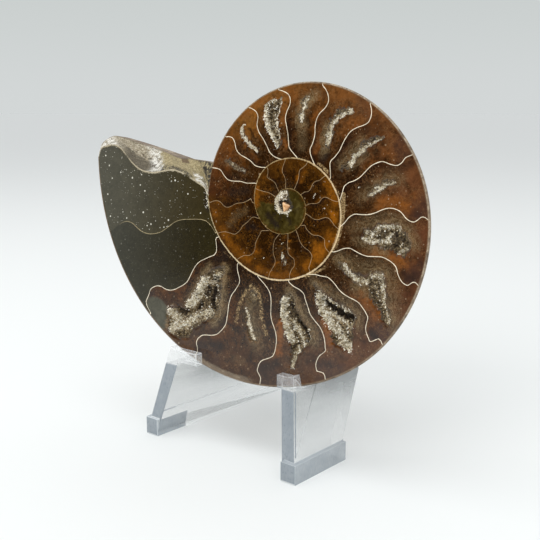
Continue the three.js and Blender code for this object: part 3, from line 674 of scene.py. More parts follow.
face, column, row = grid_piece("ammonite", 2 * TURN_COLUMNS, ROWS)
growth = FIRST + column * 360 / TURN_COLUMNS
across = row / ROWS
bent, inner, outer, flat = polished_place(growth, across)
phase = chamber_phase(bent, across)

# The distance between two walls at a point, from how fast the phase changes there.
order = np.empty((ROWS + 1, 2 * TURN_COLUMNS + 1), int)
order[row, column] = np.arange(len(row))
across_step, along_step = (np.gradient(flat[order], axis=axis) for axis in (0, 1))
phase_across, phase_along = (np.gradient(phase[order], axis=axis) for axis in (0, 1))
area = along_step[..., 0] * across_step[..., 1] - across_step[..., 0] * along_step[..., 1]
slope_x = (phase_along * across_step[..., 1] - phase_across * along_step[..., 1]) / area
slope_y = (phase_across * along_step[..., 0] - phase_along * across_step[..., 0]) / area
spacing = np.empty(len(row))
spacing[order] = np.clip(1 / np.maximum(np.hypot(slope_x, slope_y), 1e-6), 0.3, 18)

set_points(face, flat, -dress(face, flat) * ((row > 0) | (column > TURN_COLUMNS)))
set_map(face, "UVMap", np.column_stack([phase, across]))
set_map(face, "spacing", np.column_stack([spacing, outer - inner]))
to_mouth = np.maximum(LAST - growth, 0) * np.pi / 180 * (inner + (outer - inner) * across)
set_map(face, "growth", np.column_stack([growth / 360, to_mouth]))
set_map(face, "OFBake", (flat + BAKE_CORNER) / BAKE_SIZE)

# The first chamber fills the disc inside the spiral strip.
CORE_RINGS = 12
CORE_MIDDLE = np.array([-1.2, -1.6])
IN_CHAMBER, FAR, OFF_WALL = 0.5, 50, 90
core, column, row = grid_piece("first_chamber", TURN_COLUMNS + ROWS, CORE_RINGS)
on_wall = column >= ROWS
growth = FIRST + np.maximum(column - ROWS, 0) * 360 / TURN_COLUMNS
across = np.where(on_wall, 0, 1 - column / ROWS)
inner, outer = wall_radius(growth - 360), wall_radius(growth)
edge = flat_point(-growth, inner + (outer - inner) * across)
core_flat = CORE_MIDDLE + (edge - CORE_MIDDLE) * (row / CORE_RINGS)[:, None]
set_points(core, core_flat, -dress(core, core_flat) * (row < CORE_RINGS))
set_map(core, "UVMap", np.column_stack([np.full(len(row), IN_CHAMBER), row / CORE_RINGS]))
wall_distance = np.where(on_wall, np.hypot(*(edge - CORE_MIDDLE).T), OFF_WALL)
set_map(core, "spacing", np.column_stack([np.full(len(row), FAR), wall_distance]))
set_map(core, "growth", np.full((len(row), 2), (FIRST / 360, FAR)))
set_map(core, "OFBake", (core_flat + BAKE_CORNER) / BAKE_SIZE)

# The rounded back, from the polished edge over the rim or the broken mouth to the umbilicus.
# The broken edge of the mouth runs from the tip to the older whorl: x, y and depth behind the face.
MOUTH_BREAK = np.array([
    (-56.35, 9.3, 0.4), (-56.3, 11.3, 1), (-55.8, 12.5, 1.5), (-55.2, 13.2, 2), (-53.9, 14, 2.7),
    (-50.8, 13.6, 4.2), (-47.4, 12.65, 5.6), (-43.1, 11.6, 6.2), (-39, 10.5, 6.5), (-35.6, 9.5, 6.5),
    (-32.2, 9.4, 6.3), (-28, 9.05, 5.6), (-25.5, 8.8, 4.8), (-23.1, 8.5, 3.5), (-21.5, 8.4, 2),
    (-20.4, 8.3, 0.3),
])
OLDER_RIM = 22
BREAK_ROWS = 12
# Rows over the back, as fractions of the way out, close together at the rim and round the umbilicus.
FLANK_STEPS = ((0.8, 0.33, 12), (0.33, 0.24, 8), (0.24, 0.13, 6), (0.13, 0.09, 4), (0.09, 0, 5))
fractions = np.concatenate([
    1 - 0.2 * np.linspace(0.1, 1, 11) ** 2,
    *(np.linspace(outside, inside, count)[1:] for outside, inside, count in FLANK_STEPS),
])
back, column, row = grid_piece("back", TURN_COLUMNS + ROWS, BREAK_ROWS + len(fractions))
# Thickness and widest place of the flank, as parts of the whorl's radius, and the dip inside it.
THICKNESS = 0.232
WIDEST = 0.42
SLOPE, DIP = 0.12, 0.08
UMBILICUS = (0.25, 0.3)
BEHIND_MOUTH, STEP_WIDTH = 165, 9


def flank_depth(distance, growth, older_turns=2):
    """Depth of the back behind the face, with the older turns showing in the umbilicus."""
    rim = wall_radius(growth)
    q = np.minimum(distance / rim, 1)
    outward = np.clip((q - WIDEST) / (1 - WIDEST), 0, 1)
    inward = np.clip((WIDEST - q) / SLOPE, 0, 1)
    flank = THICKNESS * rim * np.sqrt(1 - outward**2) * (1 - DIP * inward**2)
    if older_turns == 0:
        return flank
    older = flank_depth(distance, growth - 360, older_turns - 1)
    return older + (flank - older) * smoothstep(*UMBILICUS, q)


def back_depth(flat):
    """Depth of the back, and the growth there, with a soft step behind the mouth."""
    distance = np.hypot(flat[:, 0], flat[:, 1])
    angle = np.degrees(np.arctan2(flat[:, 1], flat[:, 0]))
    growth = np.where(angle > BEHIND_MOUTH, 1080 - angle, 720 - angle)
    chamber = smoothstep(BEHIND_MOUTH - STEP_WIDTH, BEHIND_MOUTH, angle) * (angle <= BEHIND_MOUTH)
    depth = flank_depth(distance, growth)
    outer_depth = flank_depth(distance, np.full_like(growth, 1080 - BEHIND_MOUTH))
    return depth + (outer_depth - depth) * chamber, growth


on_mouth = column > TURN_COLUMNS
on_older = column < OLDER_RIM
growth = np.where(on_mouth, LAST, FIRST + 360 + np.minimum(column, TURN_COLUMNS) * 360 / TURN_COLUMNS)
across = np.where(on_mouth, 1 - (column - TURN_COLUMNS) / ROWS, 1)
bent, _, _, polished_edge = polished_place(growth, across)
along_mouth = np.where(on_older, ROWS + column, column - TURN_COLUMNS) / (ROWS + OLDER_RIM)
along_mouth_only = np.clip(along_mouth, 0, 1)
broken = on_mouth | on_older
reach = np.cumsum(np.append(0, np.hypot(*np.diff(MOUTH_BREAK[:, :2], axis=0).T)))
break_x, break_y, break_depth = (
    smooth_through(along_mouth_only, reach / reach[-1], values) for values in MOUTH_BREAK.T
)
broken_edge = np.column_stack([break_x, break_y])
outline = np.where(broken[:, None], broken_edge, flat_point(-bent, wall_radius(bent)))
edge_depth = np.where(broken, break_depth, EDGE)

# The rows down the broken mouth, or round the polished edge.
down = np.clip(row / BREAK_ROWS, 0, 1)
turned = np.where(broken, down, np.sin(down * np.pi / 2))
flat = polished_edge + (outline - polished_edge) * turned[:, None]
scoop = smoothstep(0.12, 0.25, along_mouth) * smoothstep(0.5, 0.38, along_mouth)
steepness = 0.9 - 0.45 * np.maximum(smoothstep(0.6, 1, along_mouth), scoop)
height = -np.where(broken, edge_depth * down**steepness, EDGE * (1 - np.cos(down * np.pi / 2)))
CHIP_DEPTH = 0.45
spots = np.column_stack([flat, height * 1.5])
chips = np.array([noise.fractal(Vector(spot) * 0.8, 0.7, 2.1, 4) for spot in spots])
height -= broken * CHIP_DEPTH * chips * np.sin(np.pi * down) * np.sin(np.pi * along_mouth_only) ** 0.5

# The rows over the back, with shallow ribs and lumps.
BEHIND_EDGE, STEEPEST = 0.4, 12
RIBS_PER_TURN, RIB_BEND, RIB_HEIGHT, LUMP_HEIGHT = 30, 16, 0.26, 0.15
behind = row > BREAK_ROWS
fraction = np.concatenate([np.ones(BREAK_ROWS + 1), fractions])[row]
flat = np.where(behind[:, None], outline * fraction[:, None], flat)
natural, flank_growth = back_depth(flat)
natural = np.maximum(natural, np.minimum(edge_depth + BEHIND_EDGE, fraction * STEEPEST))
q = np.hypot(flat[:, 0], flat[:, 1]) / wall_radius(flank_growth)
ribs = 0.5 + 0.5 * np.cos(np.radians(RIBS_PER_TURN * (flank_growth + RIB_BEND * np.sin(np.pi * q))))
lumps = np.abs(noise_at(flat, 9, 0.35))
on_flank = smoothstep(0.3, 0.45, q) * smoothstep(1, 0.9, q)
natural -= on_flank * (RIB_HEIGHT * ribs + LUMP_HEIGHT * lumps)
height = np.where(behind, -natural, height)
set_points(back, flat, height)
set_map(back, "UVMap", np.column_stack([flank_growth / 360, q]))
set_map(back, "spacing", np.zeros((len(row), 2)))
set_map(back, "growth", np.column_stack([along_mouth_only, down]))

corners = np.array([list(polygon.vertices) for polygon in back.data.polygons])
last_column, last_row = column[corners].max(1), row[corners].max(1)
mouth_faces = (last_row <= BREAK_ROWS) & ((last_column > TURN_COLUMNS) | (last_column <= OLDER_RIM))

# On the bake sheet the back lies above the face, at the left, and the mouth beside it.
BACK_CORNER, BACK_AT, BACK_SCALE = (57.6, 46), (0.01, 0.72), 0.0036
MOUTH_AT, MOUTH_SIZE = (0.37, 0.74), (0.6, 0.2)
on_sheet = (flat[corners] + BACK_CORNER) * BACK_SCALE + BACK_AT
mouth_strip = (np.stack([along_mouth_only, down], -1) * MOUTH_SIZE + MOUTH_AT)[corners]
set_map(back, "OFBake", np.where(mouth_faces[:, None, None], mouth_strip, on_sheet).reshape(-1, 2))


# Mottling of the mineral: a coarse and a fine value that vary over the surface.
mottling = bpy.data.node_groups.new("mineral mottling", "ShaderNodeTree")
for name, way, kind in (
    ("Place", "INPUT", "Vector"), ("Patch Scale", "INPUT", "Float"), ("Grain Scale", "INPUT", "Float"),
    ("Patches", "OUTPUT", "Float"), ("Grain", "OUTPUT", "Float"),
):
    mottling.interface.new_socket(name, in_out=way, socket_type="NodeSocket" + kind)
group_in = mottling.nodes.new("NodeGroupInput")
group_out = mottling.nodes.new("NodeGroupOutput")
for scale, result, detail in (("Patch Scale", "Patches", 4), ("Grain Scale", "Grain", 8)):
    texture = mottling.nodes.new("ShaderNodeTexNoise")
    texture.inputs["Detail"].default_value = detail
    texture.inputs["Roughness"].default_value = 0.62
    texture.inputs["Distortion"].default_value = 0.7
    mottling.links.new(group_in.outputs["Place"], texture.inputs["Vector"])
    mottling.links.new(group_in.outputs[scale], texture.inputs["Scale"])
    stretch = mottling.nodes.new("ShaderNodeMapRange")
    stretch.inputs["From Min"].default_value = 0.32
    stretch.inputs["From Max"].default_value = 0.68
    mottling.links.new(texture.outputs["Fac"], stretch.inputs["Value"])
    mottling.links.new(stretch.outputs["Result"], group_out.inputs[result])


def mottled(place, patch, grain):
    scales = {"Place": place, "Patch Scale": patch, "Grain Scale": grain}
    patches = place.shade.node("Group", "Patches", scales, node_tree=mottling)
    return patches, patches.also("Grain")


def specks(place, scale, reach, least):
    """Small spots, scattered one to a cell, in cells whose chance is above the least."""
    where = {"Vector": place, "Scale": scale}
    cells = place.shade.node("TexVoronoi", "Distance", where, voronoi_dimensions="2D")
    chance, size, _ = place.shade.parts(cells.also("Color"), "Color")
    radius = size * reach
    return cells.step(radius, radius * 0.5) * chance.step(least, least + 0.04)


def attribute(shade, name, output="Fac"):
    return shade.node("Attribute", output, attribute_name=name)


def own_map(shade, name):
    return shade.parts(shade.node("UVMap", "UV", uv_map=name))[:2]


def surface(shade, colour, roughness, ior, height=None, strength=0, distance=0):
    """Sets the surface, with a fine relief from the height."""
    shade.give("Base Color", colour)
    shade.give("Roughness", roughness)
    shade.give("IOR", ior)
    if height is not None:
        relief = {"Height": height, "Strength": strength, "Distance": distance * MM}
        shade.give("Normal", shade.node("Bump", "Normal", relief))
    return shade.material


# Polished calcite: amber and umber chambers between pale walls, olive mud in the body chamber.
shade = Shader(bpy.data.materials.new("polished calcite"))
phase, across = own_map(shade, "UVMap")
spacing, whorl_height = own_map(shade, "spacing")
turns, to_mouth = own_map(shade, "growth")
on_face = attribute(shade, "on_face", "Vector")
face_x = shade.parts(on_face)[0]
patches, grain = mottled(on_face, 0.2, 1.7)
clouds, flecks = mottled(on_face, 0.55, 4.6)
part_way = phase.fract()
own_tone = shade.node("TexWhiteNoise", "Value", {"W": phase.floor()}, noise_dimensions="1D")
tone = patches * 0.35 + clouds * 0.3 + grain * 0.25 + flecks * 0.1 + own_tone * 0.16 - 0.08

# Older turn first: near black inside, brown outside.
outward = across + (clouds - 0.5) * 0.5
older = outward.step(0.3, 1.0).mix((0.021, 0.007, 0.0007), (0.064, 0.0225, 0.002))
last_way = turns - 1.51
last_inner = last_way.ramp(
    (0.1, (0.026, 0.0085, 0.0006)), (0.5, (0.032, 0.011, 0.002)), (0.75, (0.018, 0.007, 0.0014)),
)
last_outer = last_way.ramp(
    (0.02, (0.06, 0.018, 0.003)), (0.09, (0.105, 0.033, 0.005)), (0.15, (0.205, 0.08, 0.013)),
    (0.26, (0.155, 0.057, 0.012)), (0.5, (0.098, 0.036, 0.015)), (0.62, (0.084, 0.031, 0.011)),
    (0.75, (0.052, 0.02, 0.006)),
)
last = outward.step(0.28, 0.98).mix(last_inner, last_outer)
on_last = turns.step(1.5, 1.515)
colour = on_last.mix(older, last)
tone_reach = 0.85 + on_last * 0.45
colour = (tone_reach * -0.5 + 0.87 + tone * tone_reach).strengthen(colour)

# A warm glow in front of each wall, and shade behind it and in the lobes at its outer end.
before = part_way.step(0.72, 0.95) * across.step(0.2, 0.45) * across.step(0.95, 0.7)
warm = before * patches.step(0.25, 0.8) * (0.15 + grain * 0.25)
glow = warm | attribute(shade, "glow") * (0.45 + clouds * 0.75)
glow_colour = turns.step(1.5, 1.52).mix((0.31, 0.1, 0.006), (0.235, 0.078, 0.015))
glow_colour = (0.52 + grain * 0.52).strengthen(glow_colour)
colour = glow.mix(colour, glow_colour)
after = part_way.step(0.36, 0.02) * across.step(1.0, 0.45) * clouds.step(-0.1, 0.5) * 0.88
colour = after.mix(colour, (0.014, 0.006, 0.003))
lobe = part_way.step(0.55, 0.75) * across.step(0.76, 0.88) * last_way.step(0.2, 0.5) * 0.5
colour = lobe.mix(colour, (0.03, 0.021, 0.02))
cloud_colour = flecks.ramp(
    (0.1, (0.046, 0.026, 0.009)), (0.5, (0.122, 0.08, 0.036)), (0.95, (0.36, 0.275, 0.155)),
)
from_hollow = attribute(shade, "hollow_edge")
near_hollow = 0.6 + from_hollow.step(1.6, 0.0) * 0.75
drawn_cloud = attribute(shade, "cloud")
cloud = drawn_cloud * near_hollow * (0.42 + clouds * 0.3 + grain * 0.4)
colour = cloud.mix(colour, cloud_colour)
band_way = (from_hollow * 0.95 + clouds * 0.9 + grain * 0.35).fract()
bands = abs(band_way - 0.5).step(0.34, 0.0)
bands = bands * from_hollow.step(2.9, 1.2) * (0.05 + drawn_cloud * 0.28)
colour = bands.mix(colour, (0.34, 0.245, 0.13))
swirls, wisps = mottled(on_face, 0.35, 1.25)
threads = abs(wisps - 0.5).step(0.1, 0.0)
threads = threads * swirls.step(0.2, 0.8) * (0.2 + flecks * 0.6)
thread_colour = turns.step(1.5, 1.52).mix((0.2, 0.08, 0.01), (0.21, 0.105, 0.04))
colour = threads.mix(colour, thread_colour)
dust = specks(on_face, 1.1, 0.2, 0.86) | specks(on_face, 0.45, 0.12, 0.6)
colour = (dust * (0.15 + clouds * 0.5)).mix(colour, (0.42, 0.31, 0.19))

# Olive mud: the first chamber, and the body chamber, which greys towards the mouth.
olive = clouds.ramp(
    (0.05, (0.019, 0.012, 0.001)), (0.5, (0.042, 0.029, 0.005)), (0.95, (0.08, 0.06, 0.015)),
)
colour = attribute(shade, "olive").mix(colour, olive)
body = phase.step(27.99, 28.01)
above = phase.step(28.99, 29.01)
greyer = face_x.step(-22, -54)
mud = greyer.mix((0.019, 0.014, 0.003), (0.034, 0.033, 0.022))
mud_above = greyer.mix((0.032, 0.023, 0.006), (0.056, 0.052, 0.034))
mud = (0.6 + tone * 0.8).strengthen(above.mix(mud, mud_above))
mud = (flecks.step(0.5, 1) * grain.step(0.4, 0.8) * 0.14).mix(mud, (0.16, 0.14, 0.09))
colour = body.mix(colour, mud)
colour = attribute(shade, "grey_lobe").mix(colour, (0.7 + clouds * 0.6).strengthen((0.066, 0.062, 0.042)))
mud_specks = specks(on_face, 0.75, 0.22, 0.8) | specks(on_face, 1.9, 0.22, 0.82)
mud_specks = mud_specks * body * (0.1 + above * patches.step(0.2, 0.7) * 0.9)
colour = mud_specks.mix(colour, (0.85, 0.82, 0.7))
# The dark strokes: dark patches, and painted shade in gaps and deep parts of the hollows.
drawn_dark = attribute(shade, "dark")
deep = drawn_dark * (0.6 + clouds * 0.4)
colour = deep.mix(colour, (0.014, 0.009, 0.007))

# Floors of the hollows: the crystals' own cream and white, and painted shade in the gaps between the
# crystals, with frosted crystal ends along the bright strings.
bright = attribute(shade, "bright")
ragged = (grain - 0.5) * 0.55 + (flecks - 0.5) * 0.3
hollow = (from_hollow + ragged).step(0.08, -0.06)
# Low values give the painted shade between the crystals, darkest under the dark strokes.
crystal_tone_and_gap_shade = grain * 0.4 + flecks * 0.65 + bright * 0.45 - 0.14 + drawn_dark * -0.6
hollow_colour = crystal_tone_and_gap_shade.ramp(
    (0.22, (0.026, 0.015, 0.006)), (0.42, (0.11, 0.07, 0.03)), (0.62, (0.32, 0.235, 0.12)),
    (0.92, (0.8, 0.71, 0.5)),
)
colour = hollow.mix(colour, hollow_colour)
glitter = (flecks - 0.5) * 1.1 + (grain - 0.5) * 0.8
crystal_spot = (bright + glitter).step(0.66, 0.84) * bright.step(0.02, 0.25)
crystal_colour = flecks.ramp((0.1, (0.4, 0.3, 0.16)), (0.45, (0.68, 0.59, 0.4)), (0.85, (0.96, 0.92, 0.82)))
colour = crystal_spot.mix(colour, crystal_colour)
crust = (attribute(shade, "crust") + ragged).step(0.35, 0.85) * (0.12 + flecks.step(0.3, 0.66) * 0.8)
colour = crust.mix(colour, grain.ramp((0.1, (0.13, 0.066, 0.02)), (0.9, (0.56, 0.4, 0.2))))

# Walls between the chambers, the middle line of the body chamber, and the spiral wall.
line_values = turns.step(1.49, 1.53).mix((0.048, 0.66, 0), (0.07, 1.0, 0))
half, strength, _ = shade.parts(line_values, "Color")
half = half + above * -0.03
septum_distance = abs((phase + 0.5).fract() - 0.5) * spacing + ragged * 0.07
septum_line = septum_distance.step(half * 1.35, half * 0.65)
septum_line = septum_line * strength * phase.step(29.3, 29.2) * (0.62 + clouds * 0.5)
septum_line = septum_line * (1 - phase.step(28.5, 28.6) * across.step(0.78, 0.9))
line_colour = last_way.ramp((0.0, (0.5, 0.36, 0.2)), (0.03, (0.95, 0.83, 0.62)), (1.0, (0.95, 0.85, 0.66)))
line_colour = phase.step(28.5, 28.52).mix(line_colour, (0.42, 0.34, 0.19))
colour = septum_line.mix(colour, line_colour)
inner_gap = across * whorl_height + ragged * 0.3
outer_gap = (1 - across) * whorl_height + ragged * 0.3
inside_last = turns.step(1.505, 1.515)
wall_turn = (turns - 0.51).fract()
wall_half = 0.065 + wall_turn.step(0.12, 0.42) * wall_turn.step(1.0, 0.82) * 0.085 + clouds * 0.04
first_wall = inner_gap.step(0.14, 0.05) * (1 - inside_last) * 0.6
colour = first_wall.mix(colour, (0.4, 0.29, 0.12))
wide, narrow = wall_half * 1.25, wall_half * 0.7
inner_wall = inner_gap.step(wide, narrow) * inside_last
outer_wall = outer_gap.step(wide, narrow) * turns.step(1.515, 1.505) * turns.step(0.52, 0.56)
wall = inner_wall | outer_wall
wall_colour = wall_turn.ramp(
    (0.0, (0.42, 0.31, 0.15)), (0.25, (0.5, 0.36, 0.18)), (0.4, (0.74, 0.56, 0.32)),
    (0.85, (0.86, 0.68, 0.42)), (1.0, (0.52, 0.42, 0.22)),
)
colour = (wall * (0.22 + clouds * 0.35 + flecks * 0.6)).mix(colour, wall_colour)

# The rim: a thin brown skin of shell, a pale band at the bottom, and the pale broken edge of the mouth.
skin = outer_gap.step(0.22, 0.08) * inside_last * (0.2 + clouds * 0.45)
colour = skin.mix(colour, (0.24, 0.16, 0.09))
torn = outer_gap + (clouds + flecks - 1) * 0.5
band = torn.step(1.15, 0.85) * turns.step(2.268, 2.285) * turns.step(2.345, 2.33) * (0.45 + grain * 0.5)
band_tone = clouds * 0.5 + flecks * 0.5
colour = band.mix(colour, band_tone.ramp((0.15, (0.07, 0.045, 0.028)), (0.85, (0.34, 0.27, 0.185))))
mouth_line = (to_mouth + ragged).step(0.42, 0.2) * patches.step(0.1, 0.6)
colour = mouth_line.mix(colour, (0.5, 0.43, 0.3))
roughness = 0.03 + grain * 0.035 + hollow * 0.4
relief = (grain + flecks) * (0.012 + hollow)
polished_calcite = surface(shade, colour, roughness, 1.43, relief, strength=0.8, distance=0.2)

# Broken mouth: a sandy fill, hollow along the polished edge and painted grey there as shade, with white
# crystals towards the tip.
shade = Shader(bpy.data.materials.new("broken mouth"))
along, down_mouth = own_map(shade, "growth")
patches, grain = mottled(shade.place, 330, 2600)
clouds, flecks = mottled(shade.place, 900, 6000)
mixed_grain = grain * 0.6 + flecks * 0.4
sand = mixed_grain.ramp((0.2, (0.17, 0.125, 0.055)), (0.5, (0.42, 0.335, 0.165)), (0.8, (0.66, 0.57, 0.36)))
pale = mixed_grain.ramp((0.2, (0.16, 0.12, 0.07)), (0.5, (0.42, 0.35, 0.235)), (0.8, (0.8, 0.74, 0.6)))
colour = along.step(0.46, 0.42).mix(sand, pale)
# The hollow along the polished edge is painted dark grey-brown: painted shade.
painted_cavity_shade = along.step(0.15, 0.22) * along.step(0.43, 0.38) * (down_mouth + clouds * 0.25).step(0.68, 0.5)
colour = (painted_cavity_shade * 0.85).mix(colour, grain.ramp((0.1, (0.042, 0.034, 0.021)), (0.9, (0.2, 0.165, 0.105))))
white = along.step(0.17, 0.12) * 0.9 | along.step(0.33, 0.39) * along.step(0.49, 0.44)
white = white | along.step(0.67, 0.69) * along.step(0.78, 0.76) * down_mouth.step(0.45, 0.3)
colour = (white * (clouds + flecks * 0.8).step(0.7, 1.0)).mix(colour, (0.95, 0.92, 0.84))
# Vesicles, holes and flaws are painted near black: painted shade in small pits, which the relief also sinks.
vesicles = along.step(0.42, 0.46) * along.step(0.68, 0.64) * down_mouth.step(0.3, 0.12)
vesicles = vesicles * grain.step(0.65, 0.35)
holes = along.step(0.77, 0.8) * along.step(0.95, 0.9) * clouds.step(0.75, 0.45)
flaws = flecks.step(0.34, 0.16) * clouds.step(0.62, 0.4) * 0.85
dark = vesicles | holes | flaws
colour = dark.mix(colour, (0.035, 0.026, 0.016))
chip = along.step(0.63, 0.635) * along.step(0.685, 0.68) * down_mouth.step(0.74, 0.76)
colour = (chip * 0.85).mix(colour, (0.13, 0.075, 0.035))
colour = (down_mouth.step(0.94, 0.97) * 0.6).mix(colour, (0.17, 0.13, 0.09))
relief = grain * 0.6 + flecks * 0.3 + dark * -0.9
broken_mouth = surface(shade, colour, 0.55 + grain * 0.25, 1.5, relief, strength=0.9, distance=0.3)

# Natural shell on the back: brown and grey with growth lines, and paler where shell remains at the rim.
shade = Shader(bpy.data.materials.new("natural shell"))
growth_turns, from_pole = own_map(shade, "UVMap")
patches, grain = mottled(shade.place, 170, 2100)
clouds, flecks = mottled(shade.place, 620, 5600)
along_growth = shade.node("CombineXYZ", 0, {0: growth_turns * 95, 1: from_pole * 3.5})
streaks, hairlines = mottled(along_growth, 1.0, 4.5)
tone = patches * 0.3 + clouds * 0.25 + streaks * 0.3 + grain * 0.15
colour = tone.ramp(
    (0.15, (0.085, 0.055, 0.032)), (0.42, (0.155, 0.105, 0.062)), (0.62, (0.235, 0.168, 0.104)),
    (0.85, (0.36, 0.28, 0.19)),
)
colour = (hairlines.step(0.45, 0.2) * 0.45).mix(colour, (0.075, 0.048, 0.028))
shell_left = from_pole.step(0.84, 0.97) * clouds.step(0.1, 0.75) * growth_turns.step(2.2, 2.05) * 0.8
colour = shell_left.mix(colour, grain.ramp((0.1, (0.26, 0.18, 0.11)), (0.9, (0.56, 0.46, 0.33))))
colour = (flecks.step(0.3, 0.12) * 0.6).mix(colour, (0.07, 0.042, 0.022))
relief = hairlines * 0.5 + streaks * 0.5 + grain
natural_shell = surface(shade, colour, 0.36 + grain * 0.25, 1.5, relief, strength=0.6, distance=0.18)

# The three grids become one closed stone.
BROKEN, NATURAL = 1, 2
for piece in (face, core, back):
    for material in (polished_calcite, broken_mouth, natural_shell):
        piece.data.materials.append(material)
slots = np.where(mouth_faces, BROKEN, NATURAL).astype(np.int32)
back.data.polygons.foreach_set("material_index", slots)

select_only(face)
core.select_set(True)
back.select_set(True)
bpy.ops.object.join()
bpy.ops.object.mode_set(mode="EDIT")
bpy.ops.mesh.select_all(action="SELECT")
bpy.ops.mesh.remove_doubles(threshold=0.002 * MM)
bpy.ops.mesh.dissolve_degenerate(threshold=0.001 * MM)
bpy.ops.mesh.normals_make_consistent(inside=False)
bpy.ops.object.mode_set(mode="OBJECT")
bpy.ops.object.shade_smooth_by_angle(angle=radians(40))
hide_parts("ammonite_half")
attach(face, "root")


# Crystals: small stubby calcite points that line the hollows, cut off level with the polished face.
# They grew on the hollow floors. One six-sided point is turned, sized and placed many times there.
shade = Shader(bpy.data.materials.new("calcite crystals"))
patches, grain = mottled(shade.place, 900, 6000)
colour = attribute(shade, "tint").ramp(
    (0.0, (0.04, 0.024, 0.01)), (0.25, (0.14, 0.09, 0.038)), (0.5, (0.44, 0.32, 0.155)),
    (0.72, (0.8, 0.7, 0.48)), (0.92, (0.98, 0.94, 0.83)),
)
colour = (grain * 0.2).mix(colour, (0.36, 0.28, 0.18))
clear_calcite = surface(shade, colour, 0.12 + grain * 0.25, 1.6)

bpy.ops.object.select_all(action="DESELECT")
bpy.ops.mesh.primitive_cone_add(vertices=6, radius1=1, radius2=0.3, depth=1.9, end_fill_type="NGON")
crystals = bpy.context.object
crystals.name = "hollow_crystals"
shape = np.array([vertex.co for vertex in crystals.data.vertices])
sides = [tuple(side.vertices) for side in crystals.data.polygons]

# Spots tried all over the face, and more in the first chamber. Those on a hollow's floor get a crystal.
FACE_AREA, FACE_TRIES = ((-31, -34.5), (29.5, 22.8)), 52000
CHAMBER_AREA, CHAMBER_TRIES = ((-3, -2), (1.4, 3.3)), 500
spots = np.vstack([
    np.random.uniform(*FACE_AREA, (FACE_TRIES, 2)),
    np.random.uniform(*CHAMBER_AREA, (CHAMBER_TRIES, 2)),
])
here, floor_depth = face_values(spots)
CLEAR_OF_RIM = 0.12
wanted = (here["hollow_edge"] < -CLEAR_OF_RIM) & (floor_depth > CLEAR_OF_RIM)
wanted &= np.random.uniform(0, 1, len(spots)) < 0.55 + 0.35 * here["bright"] - 0.5 * here["dark"]
spots, floor_depth = spots[wanted], floor_depth[wanted]
clumps = noise_at(spots, 3, 2.1)
shine, gloom = here["bright"][wanted], here["dark"][wanted]
size = np.random.uniform(0.07, 0.17, len(spots)) * (0.8 + 0.35 * np.minimum(floor_depth, 1))
# Crystals are tinted darker under the dark strokes, partly as painted shade, and paler along the bright
# strings.
tints = np.random.normal(0.22, 0.17, len(spots)) + 1.5 * clumps + 0.52 * shine - 0.45 * gloom
tints += 0.3 * (np.hypot(spots[:, 0], spots[:, 1]) < 4.5)

# Each stands on its spot, mostly upright, and its points end just below the polished face.
BELOW_FACE = 0.03
axes = np.random.normal(size=(len(size), 3)) * (1, 1, 0.6) + (0, 0, 0.7)
axes /= np.linalg.norm(axes, axis=1)[:, None]
sideways = np.cross(axes, np.random.normal(size=(len(size), 3)))
sideways /= np.linalg.norm(sideways, axis=1)[:, None]
third = np.cross(axes, sideways)
turned = (
    shape[None, :, 0, None] * sideways[:, None] + shape[None, :, 1, None] * third[:, None]
    + shape[None, :, 2, None] * axes[:, None]
)
points = np.column_stack([spots, -floor_depth])[:, None] + turned * size[:, None, None]
points[..., 2] = np.minimum(points[..., 2], -BELOW_FACE)
faces = [tuple(i * len(shape) + corner for corner in side) for i in range(len(size)) for side in sides]
mesh = bpy.data.meshes.new("hollow_crystals")
mesh.from_pydata(in_part(points.reshape(-1, 3)).tolist(), [], faces)
tints = np.repeat(np.clip(tints, 0, 1), len(shape))
mesh.attributes.new("tint", "FLOAT", "POINT").data.foreach_set("value", tints)
mesh.materials.append(clear_calcite)
crystals.data = mesh
crystals.matrix_world = Matrix()
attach(crystals, "root")


# The amber crystal: one blunt, three-sided calcite crystal in the hollow of the first chamber.
# It grew there, with its flat end just below the polished face, and is a low cone with eased edges.
shade = Shader(bpy.data.materials.new("amber crystal"))
patches, grain = mottled(shade.place, 900, 5000)
colour = patches.ramp((0.2, (0.44, 0.21, 0.085)), (0.8, (0.8, 0.5, 0.26)))
amber_calcite = surface(shade, colour, 0.1 + grain * 0.12, 1.6)
bpy.ops.object.select_all(action="DESELECT")
bpy.ops.mesh.primitive_cone_add(vertices=3, radius1=1.6 * MM, radius2=1.15 * MM, depth=0.7 * MM)
amber = bpy.context.object
amber.name = "amber_crystal"
bpy.ops.object.mode_set(mode="EDIT")
bpy.ops.mesh.select_all(action="SELECT")
bpy.ops.mesh.bevel(offset=0.12 * MM, segments=1)
bpy.ops.object.mode_set(mode="OBJECT")
in_hollow = Matrix.Translation(Vector((-0.3, -0.3, -0.38)) * MM)
amber.data.transform(to_part @ in_hollow @ Matrix.Rotation(radians(-77), 4, "Z"))
amber.data.materials.append(amber_calcite)
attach(amber, "root")


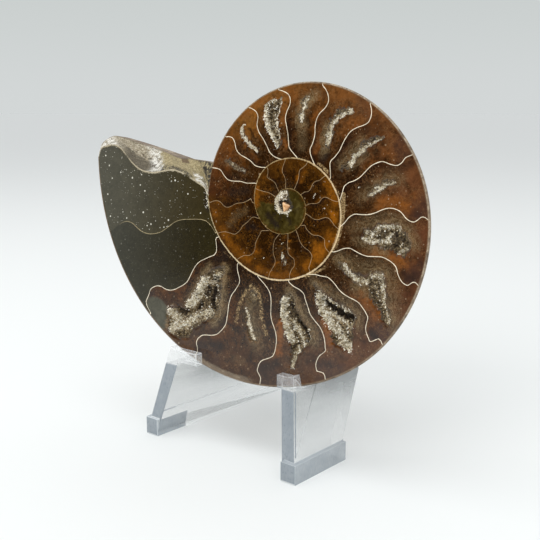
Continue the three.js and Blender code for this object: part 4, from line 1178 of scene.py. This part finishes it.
# The stage: a pale seamless floor, one large soft light above and a smaller one high in front.
# The room is pale above and behind and dark in front, so the polished face shows its own colours.
shade = Shader(bpy.data.materials.new("pale floor"))
shade.give("Base Color", (0.845, 0.862, 0.858, 1))
shade.give("Roughness", 0.9)
bpy.ops.object.select_all(action="DESELECT")
bpy.ops.mesh.primitive_plane_add(size=60)
floor = bpy.context.object
floor.name = "floor"
floor.data.materials.append(shade.material)


def soft_light(name, place, aim, size, power, colour):
    lamp = bpy.data.lights.new(name, "AREA")
    lamp.shape = "RECTANGLE"
    lamp.size, lamp.size_y = size
    lamp.energy = power
    lamp.color = colour
    light = bpy.data.objects.new(name, lamp)
    light.location = place
    light.rotation_euler = (Vector(aim) - Vector(place)).to_track_quat("-Z", "Y").to_euler()
    bpy.context.scene.collection.objects.link(light)


soft_light("overhead softbox", (-0.10, -0.13, 0.72), (0, 0, 0.02), (0.55, 0.55), 1.6, (1, 1, 1))
soft_light("front softbox", (0.05, -0.62, 0.45), (0, 0, 0.04), (0.45, 0.35), 1.7, (1, 0.995, 0.98))

# What the camera sees, what the polished surfaces mirror, and the light on everything else.
studio = bpy.data.worlds.new("studio")
room = Shader(studio, main="Background", place="Generated")
x, y, z = room.parts(room.place)
backdrop = z.step(0, 0.16).mix((0.650, 0.677, 0.678), (0.585, 0.62, 0.612))
mirrored = x.step(-0.49, -0.66).mix((0.03, 0.03, 0.03), (0.80, 0.82, 0.83))
mirrored = z.step(0.3, 0.7).mix(mirrored, (0.80, 0.82, 0.83))
mirrored = y.step(-0.5, 0.1).mix(mirrored, (0.70, 0.72, 0.73))
glossy = room.node("LightPath", "Is Glossy Ray")
light = glossy.mix((0.77, 0.785, 0.79), mirrored)
room.give("Color", glossy.also("Is Camera Ray").mix(light, backdrop))
bpy.context.scene.world = studio
bpy.context.scene.view_settings.view_transform = "Standard"

# The camera stands to the right of the easel and looks slightly down.
LOOKS_DOWN, TURNED_LEFT = 10.53, 40.5
lens = bpy.data.cameras.new("camera")
lens.sensor_width = 36
lens.lens = 56.67
lens.clip_start = 0.01
camera = bpy.data.objects.new("camera", lens)
camera.location = (0.12534, -0.14854, 0.0743)
camera.rotation_euler = (radians(90 - LOOKS_DOWN), 0, radians(TURNED_LEFT))
bpy.context.scene.collection.objects.link(camera)
bpy.context.scene.camera = camera
